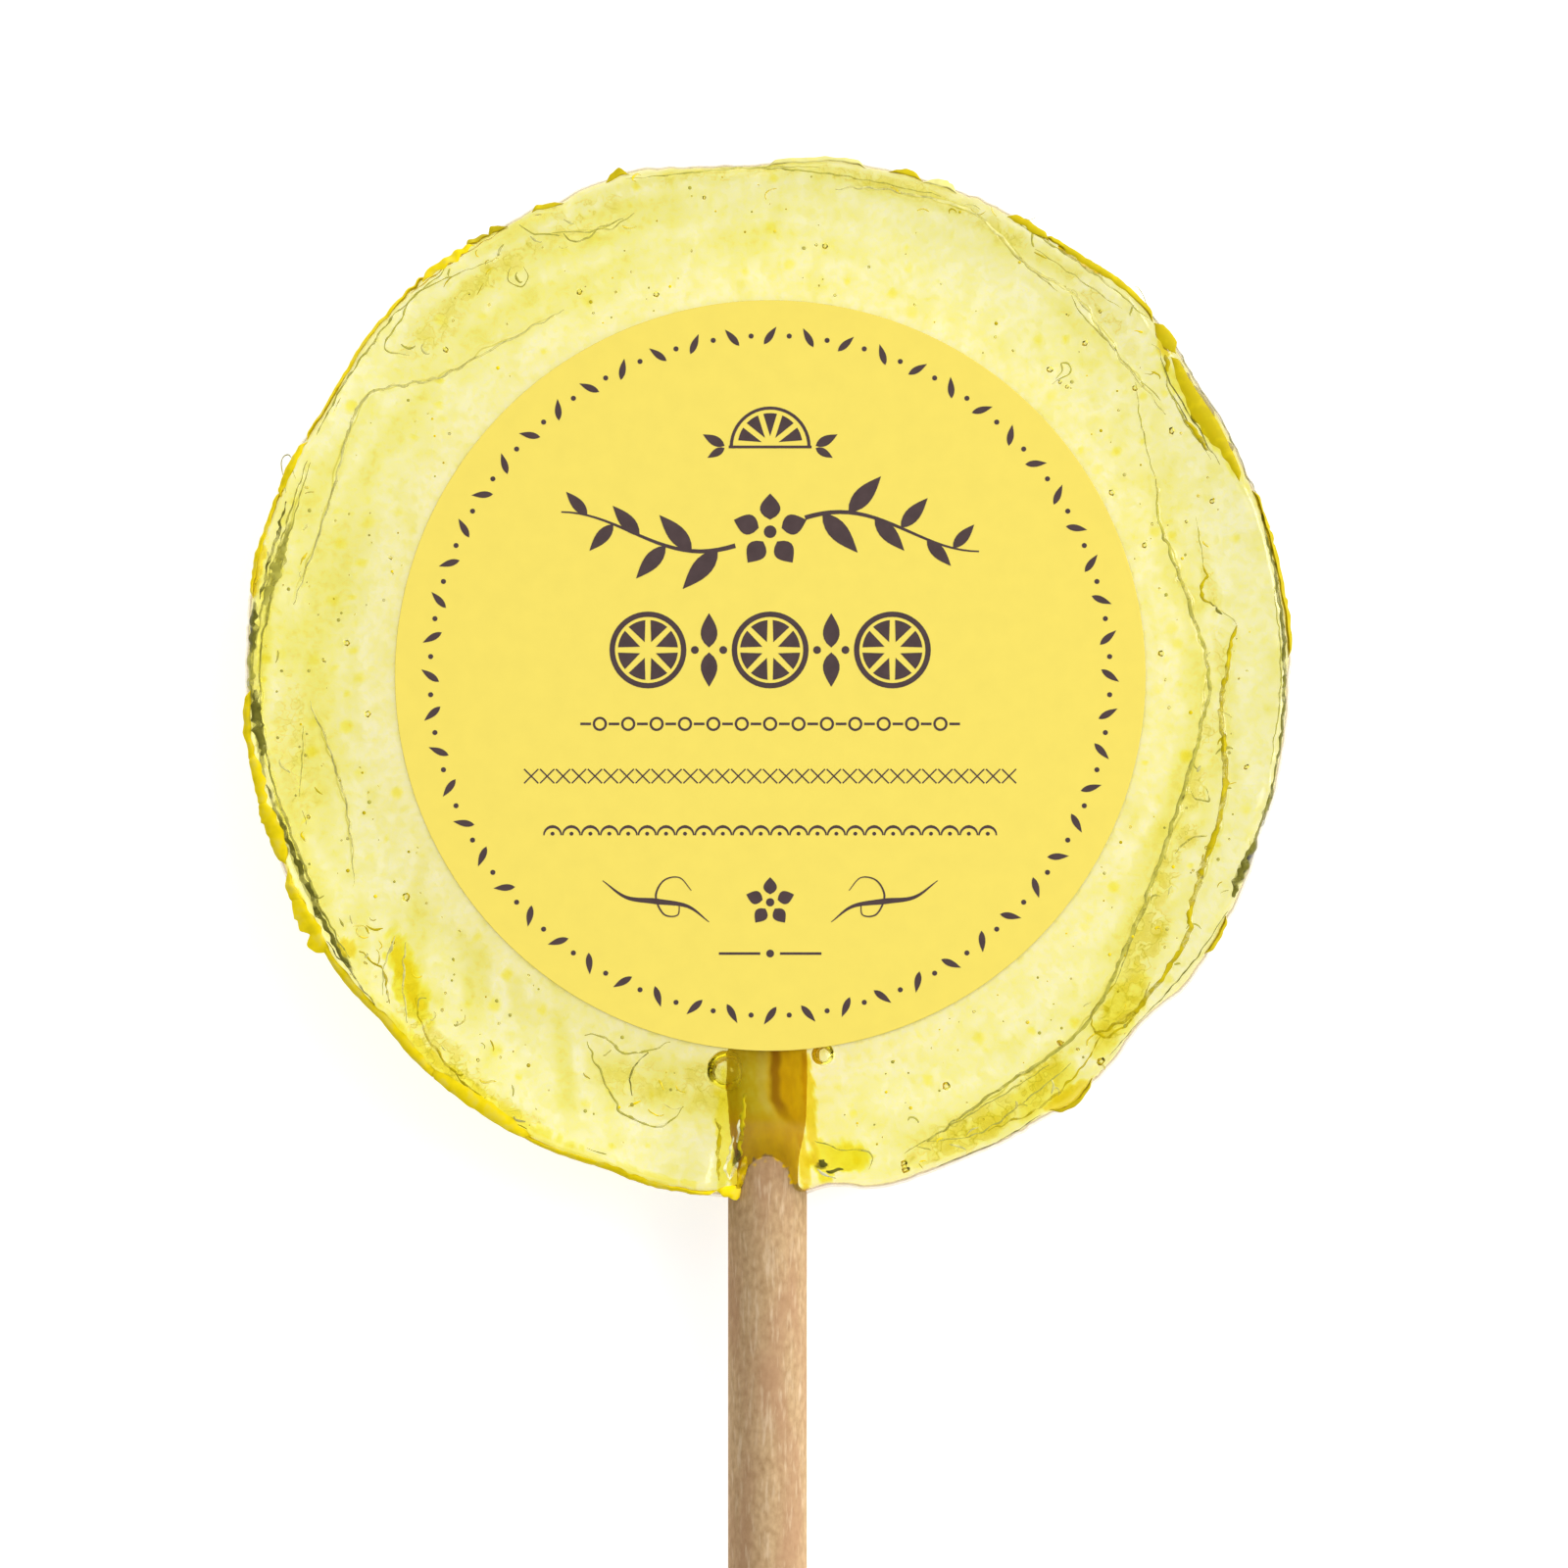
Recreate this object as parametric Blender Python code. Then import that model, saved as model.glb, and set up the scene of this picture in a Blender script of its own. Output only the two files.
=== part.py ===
"""A round, flat hard-candy lollipop on a rolled paper stick, with a round paper label on its face.

Metres, +Z up. The lollipop lies on the flat back of the candy with the label facing up. The origin is
the centre of that back, and the stick points to -Y.
"""

import math

import bmesh
import bpy
from mathutils import Matrix

MM = 0.001

# Candy disc
CANDY_RADIUS = 26.65 * MM
CANDY_THICKNESS = 6.5 * MM
RIM_STEPS = 240
BACK_BEVEL = 0.45 * MM
WALL_LEAN = 0.12 * MM
EDGE_ROUNDING = 0.5 * MM
EDGE_DEPTH = 1.7 * MM
EDGE_ARC_DEGREES = (30, 60, 90)

# Thin lip along the mould line, half way up the wall
MOULD_LINE_HEIGHT = 2.7 * MM
FLASH_ROOT = 0.5 * MM

# Face of the candy: flat under the label, with soft waves and poured layers outside it
PAD_RADIUS = 19.6 * MM
FACE_RINGS = 8
WAVE_HEIGHT = 0.06 * MM
WAVE_FADE = 1.5 * MM
LAYER_STEP = 0.16 * MM
LAYER_SOFTNESS = 0.7 * MM

# Candy sinks towards the stick where the stick leaves it
PINCH_ANGLE = 270
PINCH_DEPTH = 2.6 * MM
PINCH_HALF_WIDTH = 3.6 * MM
PINCH_START = 22.3 * MM

# Paper stick
STICK_RADIUS = 2.02 * MM
STICK_LENGTH = 101.6 * MM
STICK_INSIDE = 26.4 * MM
STICK_HEIGHT = CANDY_THICKNESS / 2
STICK_SIDES = 48
STICK_END_BEVEL = 0.25 * MM
CLEARANCE = 0.3 * MM

# Label
LABEL_RADIUS = 19.05 * MM
LABEL_THICKNESS = 0.2 * MM
LABEL_SIDES = 128
LABEL_CENTRE_X = 0.15 * MM

# Dips and swells of the rim: angle and half width in degrees, height in millimetres
RIM_SWELLS = (
    (5, 12, 0.08),
    (45, 12, 0.4),
    (93, 12.5, -0.5),
    (105, 4, 0.15),
    (114, 3, -0.2),
    (132, 14, 0.2),
    (149, 8, -0.2),
    (168, 8, 0.12),
    (187, 7, 0.15),
    (222, 7, -0.22),
    (251, 6, -0.2),
    (277, 5, -0.4),
    (284, 5, 0.14),
    (305.5, 3.5, 0.26),
    (317, 8, -0.54),
    (342, 5, -0.2),
)

# Flakes of the mould-line lip: angle and half width in degrees, height in millimetres
FLASH_FLAKES = (
    (8, 6, 0.15),
    (57, 3, 0.25),
    (60, 2, 0.45),
    (70.5, 2, 0.35),
    (81, 2, 0.3),
    (107.5, 2, 0.45),
    (130, 3, 0.25),
    (156, 2.5, 0.5),
    (184, 5, 0.2),
    (196, 5, 0.4),
    (206, 3, 0.45),
    (210, 3, 0.8),
    (266.5, 2, 0.4),
    (330, 3, 0.3),
)

# Wider rounding of the upper edge: angle and half width in degrees, extra width in millimetres
ROUNDED_STRETCHES = (
    (32, 16, 0.5),
    (235, 42, 0.6),
    (285, 10, 0.3),
)

# Edges of the poured layers: angle in degrees and radius in millimetres
LEFT_LAYER_EDGE = (
    (118, 20.8),
    (133, 22.2),
    (148, 24.6),
    (160, 24.0),
    (172, 24.2),
    (186, 23.2),
    (200, 22.5),
)
RIGHT_LAYER_EDGE = (
    (-48, 24.2),
    (-36, 22.8),
    (-26, 22.0),
    (2, 22.3),
    (14, 21.5),
    (28, 22.2),
)


def angle_between(a, b):
    """Signed difference of two angles in degrees, from -180 to 180."""
    return (a - b + 180) % 360 - 180


def smooth_bump(angle, centre, half_width):
    """One at the centre, falling softly to zero at the half width."""
    offset = abs(angle_between(angle, centre))
    return 0.5 + 0.5 * math.cos(math.pi * min(offset / half_width, 1))


def sharp_bump(angle, centre, half_width):
    """One at the centre, falling straight to zero at the half width."""
    return max(0.0, 1 - abs(angle_between(angle, centre)) / half_width)


def smooth_step(value):
    """Zero below 0, one above 1, with a soft rise between."""
    t = min(max(value, 0.0), 1.0)
    return t * t * (3 - 2 * t)


def rim_radius(angle):
    swells = sum(height * smooth_bump(angle, centre, width) for centre, width, height in RIM_SWELLS)
    return CANDY_RADIUS + swells * MM


def flash_width(angle):
    return MM * max(height * sharp_bump(angle, centre, width) for centre, width, height in FLASH_FLAKES)


def edge_rounding(angle):
    extra = sum(height * smooth_bump(angle, centre, width) for centre, width, height in ROUNDED_STRETCHES)
    return EDGE_ROUNDING + extra * MM


def layer_height(angle, radius, edge):
    """Height of a poured layer that ends at the given edge, fading out at the edge's two ends."""
    start, end = edge[0][0], edge[-1][0]
    middle = (start + end) / 2
    position = middle + angle_between(angle, middle)
    if not start < position < end:
        return 0.0
    for (angle_a, radius_a), (angle_b, radius_b) in zip(edge, edge[1:]):
        if position <= angle_b:
            share = smooth_step((position - angle_a) / (angle_b - angle_a))
            edge_radius = (radius_a + (radius_b - radius_a) * share) * MM
            break
    fade = smooth_step(min(position - start, end - position) / 8)
    return LAYER_STEP * fade * smooth_step((radius - edge_radius) / LAYER_SOFTNESS + 0.5)


def face_height(angle, radius):
    """Height of the candy's face above its back."""
    x = radius * math.cos(math.radians(angle)) / MM
    y = radius * math.sin(math.radians(angle)) / MM
    waves = math.sin(0.62 * x + 0.31 * y) + math.sin(0.74 * y - 0.45 * x + 1.1)
    height = CANDY_THICKNESS + WAVE_HEIGHT * waves * smooth_step((radius - PAD_RADIUS) / WAVE_FADE)
    height -= layer_height(angle, radius, LEFT_LAYER_EDGE) + layer_height(angle, radius, RIGHT_LAYER_EDGE)
    sideways = radius * math.sin(math.radians(angle_between(angle, PINCH_ANGLE)))
    across = smooth_step(1 - abs(sideways) / PINCH_HALF_WIDTH)
    along = smooth_step((radius - PINCH_START) / (CANDY_RADIUS - PINCH_START))
    if math.sin(math.radians(angle)) > 0:
        return height
    return height - PINCH_DEPTH * across * along


def rim_profile(angle):
    """Radius and height of each ring's point at this angle, from the label's pad out and down to the back."""
    rim = rim_radius(angle)
    rounding = edge_rounding(angle)
    face_edge = rim - WALL_LEAN - rounding
    profile = []
    for ring in range(FACE_RINGS + 1):
        radius = PAD_RADIUS + (face_edge - PAD_RADIUS) * ring / FACE_RINGS
        profile.append((radius, face_height(angle, radius)))
    edge_height = profile[-1][1]
    drop = min(EDGE_DEPTH, edge_height - MOULD_LINE_HEIGHT - FLASH_ROOT)
    for degrees in EDGE_ARC_DEGREES:
        turn = math.radians(degrees)
        radius = face_edge + rounding * math.sin(turn)
        profile.append((radius, edge_height - drop * (1 - math.cos(turn))))
    profile.append((rim, MOULD_LINE_HEIGHT + FLASH_ROOT / 2))
    profile.append((rim + flash_width(angle), MOULD_LINE_HEIGHT))
    profile.append((rim, MOULD_LINE_HEIGHT - FLASH_ROOT / 2))
    profile.append((rim - WALL_LEAN, BACK_BEVEL))
    profile.append((rim - WALL_LEAN - BACK_BEVEL, 0.0))
    return profile


def add_mesh_object(name, bm, material):
    """Turn a bmesh into a smooth-shaded object with sharp edges kept."""
    mesh = bpy.data.meshes.new(name)
    bm.to_mesh(mesh)
    bm.free()
    mesh.shade_smooth()
    mesh.set_sharp_from_angle(angle=math.radians(35))
    mesh.materials.append(material)
    part = bpy.data.objects.new(name, mesh)
    bpy.context.scene.collection.objects.link(part)
    return part


def add_material(name, colour, roughness, transmission=0.0):
    material = bpy.data.materials.new(name)
    material.use_nodes = True
    shader = material.node_tree.nodes["Principled BSDF"]
    shader.inputs["Base Color"].default_value = (*colour, 1)
    shader.inputs["Roughness"].default_value = roughness
    shader.inputs["Metallic"].default_value = 0.0
    shader.inputs["Transmission Weight"].default_value = transmission
    return material


def cylinder_along_y(radius, start_y, end_y, height, sides):
    """A closed cylinder between two places on Y, its axis at the given height."""
    bm = bmesh.new()
    turn = Matrix.Rotation(math.radians(90), 4, "X")
    place = Matrix.Translation((0, (start_y + end_y) / 2, height))
    bmesh.ops.create_cone(
        bm,
        cap_ends=True,
        segments=sides,
        radius1=radius,
        radius2=radius,
        depth=abs(end_y - start_y),
        matrix=place @ turn,
    )
    return bm


def add_candy_disc():
    """The poured candy: a wavy face, a rounded and flaked rim and a flat back."""
    angles = [step * 360 / RIM_STEPS for step in range(RIM_STEPS)]
    profiles = [rim_profile(angle) for angle in angles]
    bm = bmesh.new()
    rings = []
    for ring in range(len(profiles[0])):
        points = []
        for angle, profile in zip(angles, profiles):
            radius, height = profile[ring]
            turn = math.radians(angle)
            points.append(bm.verts.new((radius * math.cos(turn), radius * math.sin(turn), height)))
        rings.append(points)
    bm.faces.new(rings[0])
    bm.faces.new(reversed(rings[-1]))
    for inner, outer in zip(rings, rings[1:]):
        for step in range(RIM_STEPS):
            after = (step + 1) % RIM_STEPS
            bm.faces.new((inner[step], outer[step], outer[after], inner[after]))
    material = add_material("clear_lemon_candy", (0.92, 0.84, 0.32), 0.06, transmission=0.8)
    return add_mesh_object("candy_disc", bm, material)


def add_stick_bore(candy):
    """Cut the blind hole that the stick sits in, open at the rim."""
    inner_end = STICK_INSIDE - CANDY_RADIUS + CLEARANCE
    outer_end = -CANDY_RADIUS * 1.2
    bm = cylinder_along_y(STICK_RADIUS + CLEARANCE, inner_end, outer_end, STICK_HEIGHT, STICK_SIDES)
    cutter = add_mesh_object("stick_bore_cutter", bm, candy.data.materials[0])
    cutter.hide_render = True
    cutter.display_type = "WIRE"
    bore = candy.modifiers.new("stick_bore", "BOOLEAN")
    bore.operation = "DIFFERENCE"
    bore.solver = "EXACT"
    bore.object = cutter


def add_paper_stick():
    """The straight rolled stick, from near the candy's centre to its free end."""
    inner_end = STICK_INSIDE - CANDY_RADIUS
    outer_end = inner_end - STICK_LENGTH
    bm = cylinder_along_y(STICK_RADIUS, inner_end, outer_end, STICK_HEIGHT, STICK_SIDES)
    stick = add_mesh_object("paper_stick", bm, add_material("rolled_paper", (0.56, 0.40, 0.25), 0.85))
    bevel = stick.modifiers.new("end_bevel", "BEVEL")
    bevel.width = STICK_END_BEVEL
    bevel.segments = 2
    bevel.limit_method = "ANGLE"
    bevel.angle_limit = math.radians(60)
    return stick


def add_label():
    """The thin round label that lies on the face's flat pad."""
    bm = bmesh.new()
    middle = CANDY_THICKNESS + CLEARANCE + LABEL_THICKNESS / 2
    bmesh.ops.create_cone(
        bm,
        cap_ends=True,
        segments=LABEL_SIDES,
        radius1=LABEL_RADIUS,
        radius2=LABEL_RADIUS,
        depth=LABEL_THICKNESS,
        matrix=Matrix.Translation((LABEL_CENTRE_X, 0, middle)),
    )
    return add_mesh_object("label", bm, add_material("yellow_label_paper", (0.96, 0.78, 0.14), 0.5))


def build():
    for old in list(bpy.data.objects):
        bpy.data.objects.remove(old, do_unlink=True)
    candy = add_candy_disc()
    add_stick_bore(candy)
    add_paper_stick()
    add_label()


build()
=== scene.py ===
"""Looks of a flat round hard-candy lollipop on a rolled paper stick, lying labelled side up.

Angles go round the candy from +X, and the stick is at 270 degrees.
"""

import math
import random

import bmesh
import bpy
import numpy as np
from mathutils import Matrix, Vector


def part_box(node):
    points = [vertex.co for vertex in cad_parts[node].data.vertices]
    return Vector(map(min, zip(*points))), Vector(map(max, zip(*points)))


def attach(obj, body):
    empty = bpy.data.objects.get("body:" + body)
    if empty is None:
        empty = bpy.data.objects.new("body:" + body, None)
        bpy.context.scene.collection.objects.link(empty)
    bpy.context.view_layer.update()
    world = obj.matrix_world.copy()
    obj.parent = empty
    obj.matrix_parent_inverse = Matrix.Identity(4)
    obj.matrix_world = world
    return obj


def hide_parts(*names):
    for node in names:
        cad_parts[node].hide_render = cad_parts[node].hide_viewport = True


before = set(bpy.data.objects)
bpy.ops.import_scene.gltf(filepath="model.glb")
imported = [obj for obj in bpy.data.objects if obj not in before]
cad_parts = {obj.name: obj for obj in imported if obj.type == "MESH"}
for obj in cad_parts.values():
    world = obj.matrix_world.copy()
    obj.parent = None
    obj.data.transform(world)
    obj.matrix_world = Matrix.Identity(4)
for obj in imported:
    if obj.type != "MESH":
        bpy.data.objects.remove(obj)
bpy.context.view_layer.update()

MM = 0.001

# Sizes read from the frame
STICK_LOW, STICK_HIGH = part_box("paper_stick")
STICK_RADIUS = (STICK_HIGH.x - STICK_LOW.x) / 2
STICK_HEIGHT = (STICK_HIGH.z + STICK_LOW.z) / 2
LABEL_LOW, LABEL_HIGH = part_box("label")
LABEL_RADIUS = (LABEL_HIGH.x - LABEL_LOW.x) / 2
LABEL_CENTRE_X = (LABEL_HIGH.x + LABEL_LOW.x) / 2
CLEARANCE = 0.3 * MM
FACE_HEIGHT = LABEL_LOW.z - CLEARANCE

# Candy rim, as on the solid
CANDY_RADIUS = 26.65 * MM
RIM_STEPS = 1200
BACK_BEVEL = 0.45 * MM
WALL_LEAN = 0.12 * MM
EDGE_ROUNDING = 0.5 * MM
EDGE_DEPTH = 1.7 * MM
MOULD_LINE_HEIGHT = 2.7 * MM
FLASH_ROOT = 0.5 * MM
MOULD_LIP = 0.04 * MM
RIM_ROUGHNESS = 0.03 * MM
# How far round the edge, in radians, the wall's own yellow starts
WALL_YELLOW_START = 1.3
# Folds of the surface that are sharper than this stay sharp, in degrees
SHARP_ANGLE = 50
RIDGE_SHARP_ANGLE = 40

# Candy face
PAD_RADIUS = LABEL_RADIUS + 0.25 * MM
WAVE_HEIGHT = 0.06 * MM
WAVE_FADE = 1.5 * MM
RIPPLE_HEIGHT = 0.022 * MM
LAYER_STEP = 0.13 * MM
SEAM_HALF_WIDTH = 0.07 * MM
SEAM_FLANK = 0.3
RINGS_TO_INNER_SEAM = 18
RINGS_BETWEEN_SEAMS = 14
RINGS_TO_EDGE = 10
RINGS_ROUND_EDGE = 7
RINGS_DOWN_WALL = 5

# Unevenness of the face: strength, size (mm) and seed of its waves
RIPPLES = ((1, 2.6, 21), (0.45, 1.1, 22))
MOTTLING = ((0.5, 3.2, 53), (0.35, 1.3, 54), (0.35, 0.7, 55))
PATCH_EDGES = ((0.16, 1.1, 0), (0.1, 0.5, 1))

# Unevenness round the rim: strength, lumps in a turn and seed
RIM_LUMPS = ((1, 60, 11), (0.6, 170, 12))
SEAM_WIGGLE = ((0.09, 70, 15), (0.05, 160, 16))

# Sunk place round the stick
PINCH_ANGLE = 270
PINCH_DEPTH = 2.6 * MM
PINCH_HALF_WIDTH = 3.6 * MM
PINCH_START = 22.3 * MM

# Dips and swells of the rim: angle and half width in degrees, height in millimetres
RIM_SWELLS = (
    (5, 12, 0.08),
    (45, 12, 0.4),
    (93, 12.5, -0.5),
    (105, 4, 0.15),
    (114, 3, -0.2),
    (132, 14, 0.2),
    (149, 8, -0.2),
    (168, 8, 0.12),
    (187, 7, 0.15),
    (222, 7, -0.22),
    (251, 6, -0.2),
    (277, 5, -0.4),
    (284, 5, 0.14),
    (305.5, 3.5, 0.26),
    (317, 8, -0.54),
    (342, 5, -0.2),
)

# Golden crust along the rim: start and end in degrees, width and flake length in millimetres, tone
RIM_CRUST = (
    (2, 21, 0.1, 0.16, "gold"),
    (38.2, 42.5, 0.6, 0.08, "gold"),
    (42.5, 58, 0.33, 0.08, "gold"),
    (50, 54, 0.2, 0.05, "amber"),
    (57, 62.5, 0.4, 0.12, "gold"),
    (68.5, 72.5, 0.2, 0.25, "faint"),
    (72.5, 76.5, 0.15, 0.15, "gold"),
    (79, 90, 0.2, 0.1, "faint"),
    (105.4, 108.2, 0.2, 0.4, "gold"),
    (113.3, 117, 0.2, 0.15, "gold"),
    (120, 122.6, 0.15, 0.25, "gold"),
    (122, 125.5, 0.1, 0.15, "gold"),
    (124.2, 131.3, 0.35, 0.2, "bright"),
    (130.3, 153, 0.13, 0.04, "bright"),
    (153, 160, 0.3, 0.1, "bright"),
    (159, 171.5, 0.2, 0.05, "bright"),
    (181.5, 190, 0.4, 0.12, "bright"),
    (188.4, 195, 0.6, 0.1, "bright"),
    (193.5, 201.5, 0.62, 0.28, "bright"),
    (202, 207.5, 0.35, 0.2, "bright"),
    (204.5, 212.5, 0.45, 0.65, "bright"),
    (211, 222, 0.36, 0.04, "bright"),
    (220, 231, 0.5, 0.06, "bright"),
    (229.5, 243, 0.75, 0.06, "bright"),
    (240.5, 264.5, 0.24, 0.04, "bright"),
    (264.3, 267.6, 0.5, 0.3, "bright"),
    (303, 309, 0.2, 0.05, "gold"),
    (327.5, 332.5, 0.15, 0.2, "gold"),
)
# Golden facets set back from the rim: start and end angle, gap to the rim and width (mm), tone
RIM_FACETS = (
    (22.3, 38.4, 0.45, 0.7, "gold"),
)
CRUST_THICKNESS = 0.05 * MM
CRUST_FALL = 0.22 * MM
CRUST_GAP = 0.12
# Steps along the crust and between the corners of its flakes, in degrees
CRUST_STEP = 0.18
FLAKE_SPACING = (0.25, 1.5)
# Widths of crust, and how far from the rim crust of that width rests on the candy (mm)
CRUST_SEAT = ((0.1, 0.25), (0.2, 0.3))
# Degrees in which an end of the crust closes, and how open it is left at its tip
CRUST_ENDING = 1.2
CRUST_TIP = 0.15
# Shortest and longest flakes that hang over the edge, as shares of its fall
CRUST_HANG = (0.05, 0.9)
HANG_SEED = 5000

# Rougher stretches of the rim: angle and half width in degrees, extra roughness in millimetres
ROUGH_STRETCHES = (
    (60, 22, 0.05),
    (125, 22, 0.06),
    (168, 14, 0.05),
    (201, 16, 0.07),
    (258, 8, 0.05),
    (303, 12, 0.04),
)

# Wider rounding of the upper edge: angle and half width in degrees, extra width in millimetres
ROUNDED_STRETCHES = (
    (32, 16, 0.5),
    (235, 42, 0.6),
    (285, 10, 0.3),
)

# Edges of the poured layers: tone, half width (mm) and raggedness of the line, then angles and radii (mm)
INNER_SEAMS = (
    ("faint", 0.07, 0.3, (119, 21.2), (128, 21.55), (138, 22.55), (144, 24.6), (149, 24.7), (154, 24.15),
     (163, 23.85), (171.5, 24.3)),
    ("faint", 0.05, 0.3, (183, 23.3), (190, 22.5), (198, 22.4), (207, 23.5)),
    ("olive", 0.1, 0.3, (289, 25.0), (298, 24.1), (312, 24.0), (325, 22.6), (336, 22.0), (352, 22.1),
     (361, 22.35), (374, 21.5), (381, 21.35), (387, 22.1)),
)
OUTER_SEAMS = (
    ("faint", 0.07, 0.3, (33, 24.2), (42, 24.1), (51, 24.85), (57, 24.6), (66, 25.7), (76, 25.4),
     (82, 25.0)),
    ("olive", 0.04, 0.3, (106, 24.4), (110, 24.1), (116, 25.0)),
    ("olive", 0.05, 0.4, (155, 25.6), (165, 25.3), (178, 25.75), (190, 25.7), (205, 25.5), (214, 25.6)),
    ("gold", 0.14, 0.4, (312.5, 24.7), (318, 25.3), (328, 25.1), (332, 24.4), (345, 24.0), (356, 23.1),
     (363, 23.55), (366, 23.9)),
)

# Painted places: angle (degrees), radius, half length, half width (mm), turn outward (degrees), amount
GOLD_PATCHES = (
    (40, 26.4, 0.65, 0.55, 0, 0.8),
    (168, 26.4, 1.5, 0.22, 0, 0.9),
    (204, 26.5, 5.2, 0.3, 0, 0.8),
    (213, 25.4, 0.6, 0.4, 0, 0.7),
    (219.6, 23.8, 1.9, 0.4, 19, 0.5),
    (266.6, 25.4, 0.35, 1.1, -6, 0.9),
    (275.6, 21.8, 0.3, 2.9, 0, 0.9),
    (274.3, 24.9, 0.3, 1.3, 0, 0.9),
    (305.5, 26.3, 1.3, 0.45, 0, 0.8),
)

# Rough, crystalline places, in the same form
ROUGH_PATCHES = (
    (229, 25.3, 2.6, 0.8, 4, 1.0),
    (238, 25.6, 2.4, 0.4, 0, 0.7),
    (222, 24.6, 1.6, 0.8, 20, 0.4),
    (294, 25.3, 3.2, 0.8, -4, 1.0),
    (303.5, 24.9, 1.8, 0.8, -10, 0.9),
    (317, 24.6, 2.2, 0.8, -14, 1.0),
    (325, 23.5, 2.4, 0.9, -18, 1.0),
    (333, 22.8, 1.6, 0.6, -10, 0.8),
    (339, 22.9, 0.7, 0.5, 0, 0.9),
    (345, 22.6, 0.9, 0.45, 0, 0.8),
    (353, 22.6, 1.2, 0.4, 0, 0.6),
    (3, 23.0, 1.4, 0.35, 0, 0.6),
    (13, 23.0, 2.2, 0.3, 0, 0.6),
    (124, 24.7, 3.0, 0.6, 0, 0.6),
    (134, 24.4, 2.4, 0.9, 0, 0.5),
    (112, 25.2, 2.0, 0.8, 0, 0.6),
    (95, 25.6, 3.5, 0.4, 0, 0.4),
    (76, 25.8, 3.5, 0.5, 0, 0.5),
    (64, 25.6, 2.5, 0.5, 4, 0.5),
    (48, 25.2, 2.6, 0.5, 8, 0.5),
    (188, 24.4, 3.4, 0.9, 0, 0.5),
    (252, 21.6, 1.8, 1.0, 0, 0.45),
    (262, 21.0, 1.2, 1.2, 0, 0.6),
)

# Smooth places of thick, deep yellow syrup
SYRUP_PATCHES = (
    (278.5, 24.75, 1.75, 0.7, 10, 1.1),
    (276.6, 24.9, 0.55, 1.05, 0, 1.1),
    (264.9, 23.2, 0.6, 2.9, -3, 0.7),
    (220.3, 23.95, 2.4, 0.7, 19, 0.8),
    (234, 25.9, 6.0, 0.45, 0, 0.6),
    (252, 26.1, 5.0, 0.25, 0, 0.4),
    (293, 25.5, 3.4, 0.7, -3, 0.2),
    (304, 25.3, 2.0, 1.0, -8, 0.35),
    (316, 24.8, 2.4, 0.8, -14, 0.4),
    (30, 25.8, 3.6, 0.5, -5, 0.5),
)

# Painted shade at the rim and at cracks by the stick: dark places where the clear candy would refract dark
# surroundings, painted into its colour
DARK_SHADE_PATCHES = (
    (204, 25.75, 4.6, 0.13, 0, 0.4),
    (180, 26.2, 4.0, 0.12, -1, 0.6),
    (168, 25.5, 2.4, 0.14, 2, 0.6),
    (188, 26.0, 1.8, 0.13, 2, 0.6),
    (338, 26.15, 0.9, 0.22, 6, 0.8),
    (266.4, 24.45, 0.13, 0.65, 0, 1.0),
    (276.3, 25.0, 0.3, 0.22, 0, 1.0),
)

# Soft clouds, where the candy is thicker and greener
CLOUDY_PATCHES = (
    (12, 21.6, 4.0, 0.7, 0, 0.5),
    (357, 21.8, 4.0, 0.6, 0, 0.8),
    (343, 21.7, 4.0, 0.7, 0, 1.0),
    (328, 22.3, 3.5, 0.8, -10, 1.0),
    (352, 23.3, 4.5, 0.4, 0, 0.7),
    (318, 24.2, 3.2, 1.0, -12, 1.0),
    (302, 25.0, 4.5, 0.9, -6, 1.0),
    (289, 24.6, 2.0, 0.6, 0, 0.6),
    (25, 22.3, 2.0, 0.8, 0, 0.4),
    (258, 21.3, 2.6, 1.7, 0, 0.9),
    (249, 21.6, 1.6, 1.1, 0, 0.7),
    (215, 21.6, 2.6, 0.45, 35, 0.7),
    (226.3, 21.4, 2.0, 0.6, 46, 0.9),
    (242.5, 22.3, 3.6, 0.5, 57, 1.0),
    (212, 24.3, 1.5, 0.4, 32, 0.6),
    (232, 20.6, 1.6, 0.35, 40, 0.6),
    (193, 23.6, 2.2, 0.9, 0, 0.8),
    (185, 22.9, 4.5, 0.9, 0, 0.9),
    (168, 23.1, 5.0, 1.5, 2, 0.7),
    (158, 24.6, 2.6, 0.7, 0, 0.6),
    (172, 25.8, 5.0, 0.5, 0, 1.2),
    (199, 25.3, 4.0, 0.5, 0, 0.9),
    (148, 22.6, 4.0, 0.8, 4, 0.5),
    (130, 22.6, 5.0, 0.5, 0, 0.6),
    (117, 21.8, 4.0, 0.6, 0, 0.6),
    (124, 24.6, 5.0, 0.8, 0, 0.6),
    (119.5, 26.0, 2.2, 0.5, 0, 1.2),
    (108, 24.2, 4.0, 1.0, 0, 0.6),
    (92, 25.9, 6.0, 0.3, 0, 0.9),
    (90, 22.0, 5.0, 0.8, 0, 0.3),
    (75, 25.6, 4.0, 0.5, 0, 0.8),
    (60, 25.4, 3.0, 0.6, 0, 0.6),
    (49, 23.8, 2.6, 0.4, 0, 0.6),
)
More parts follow.
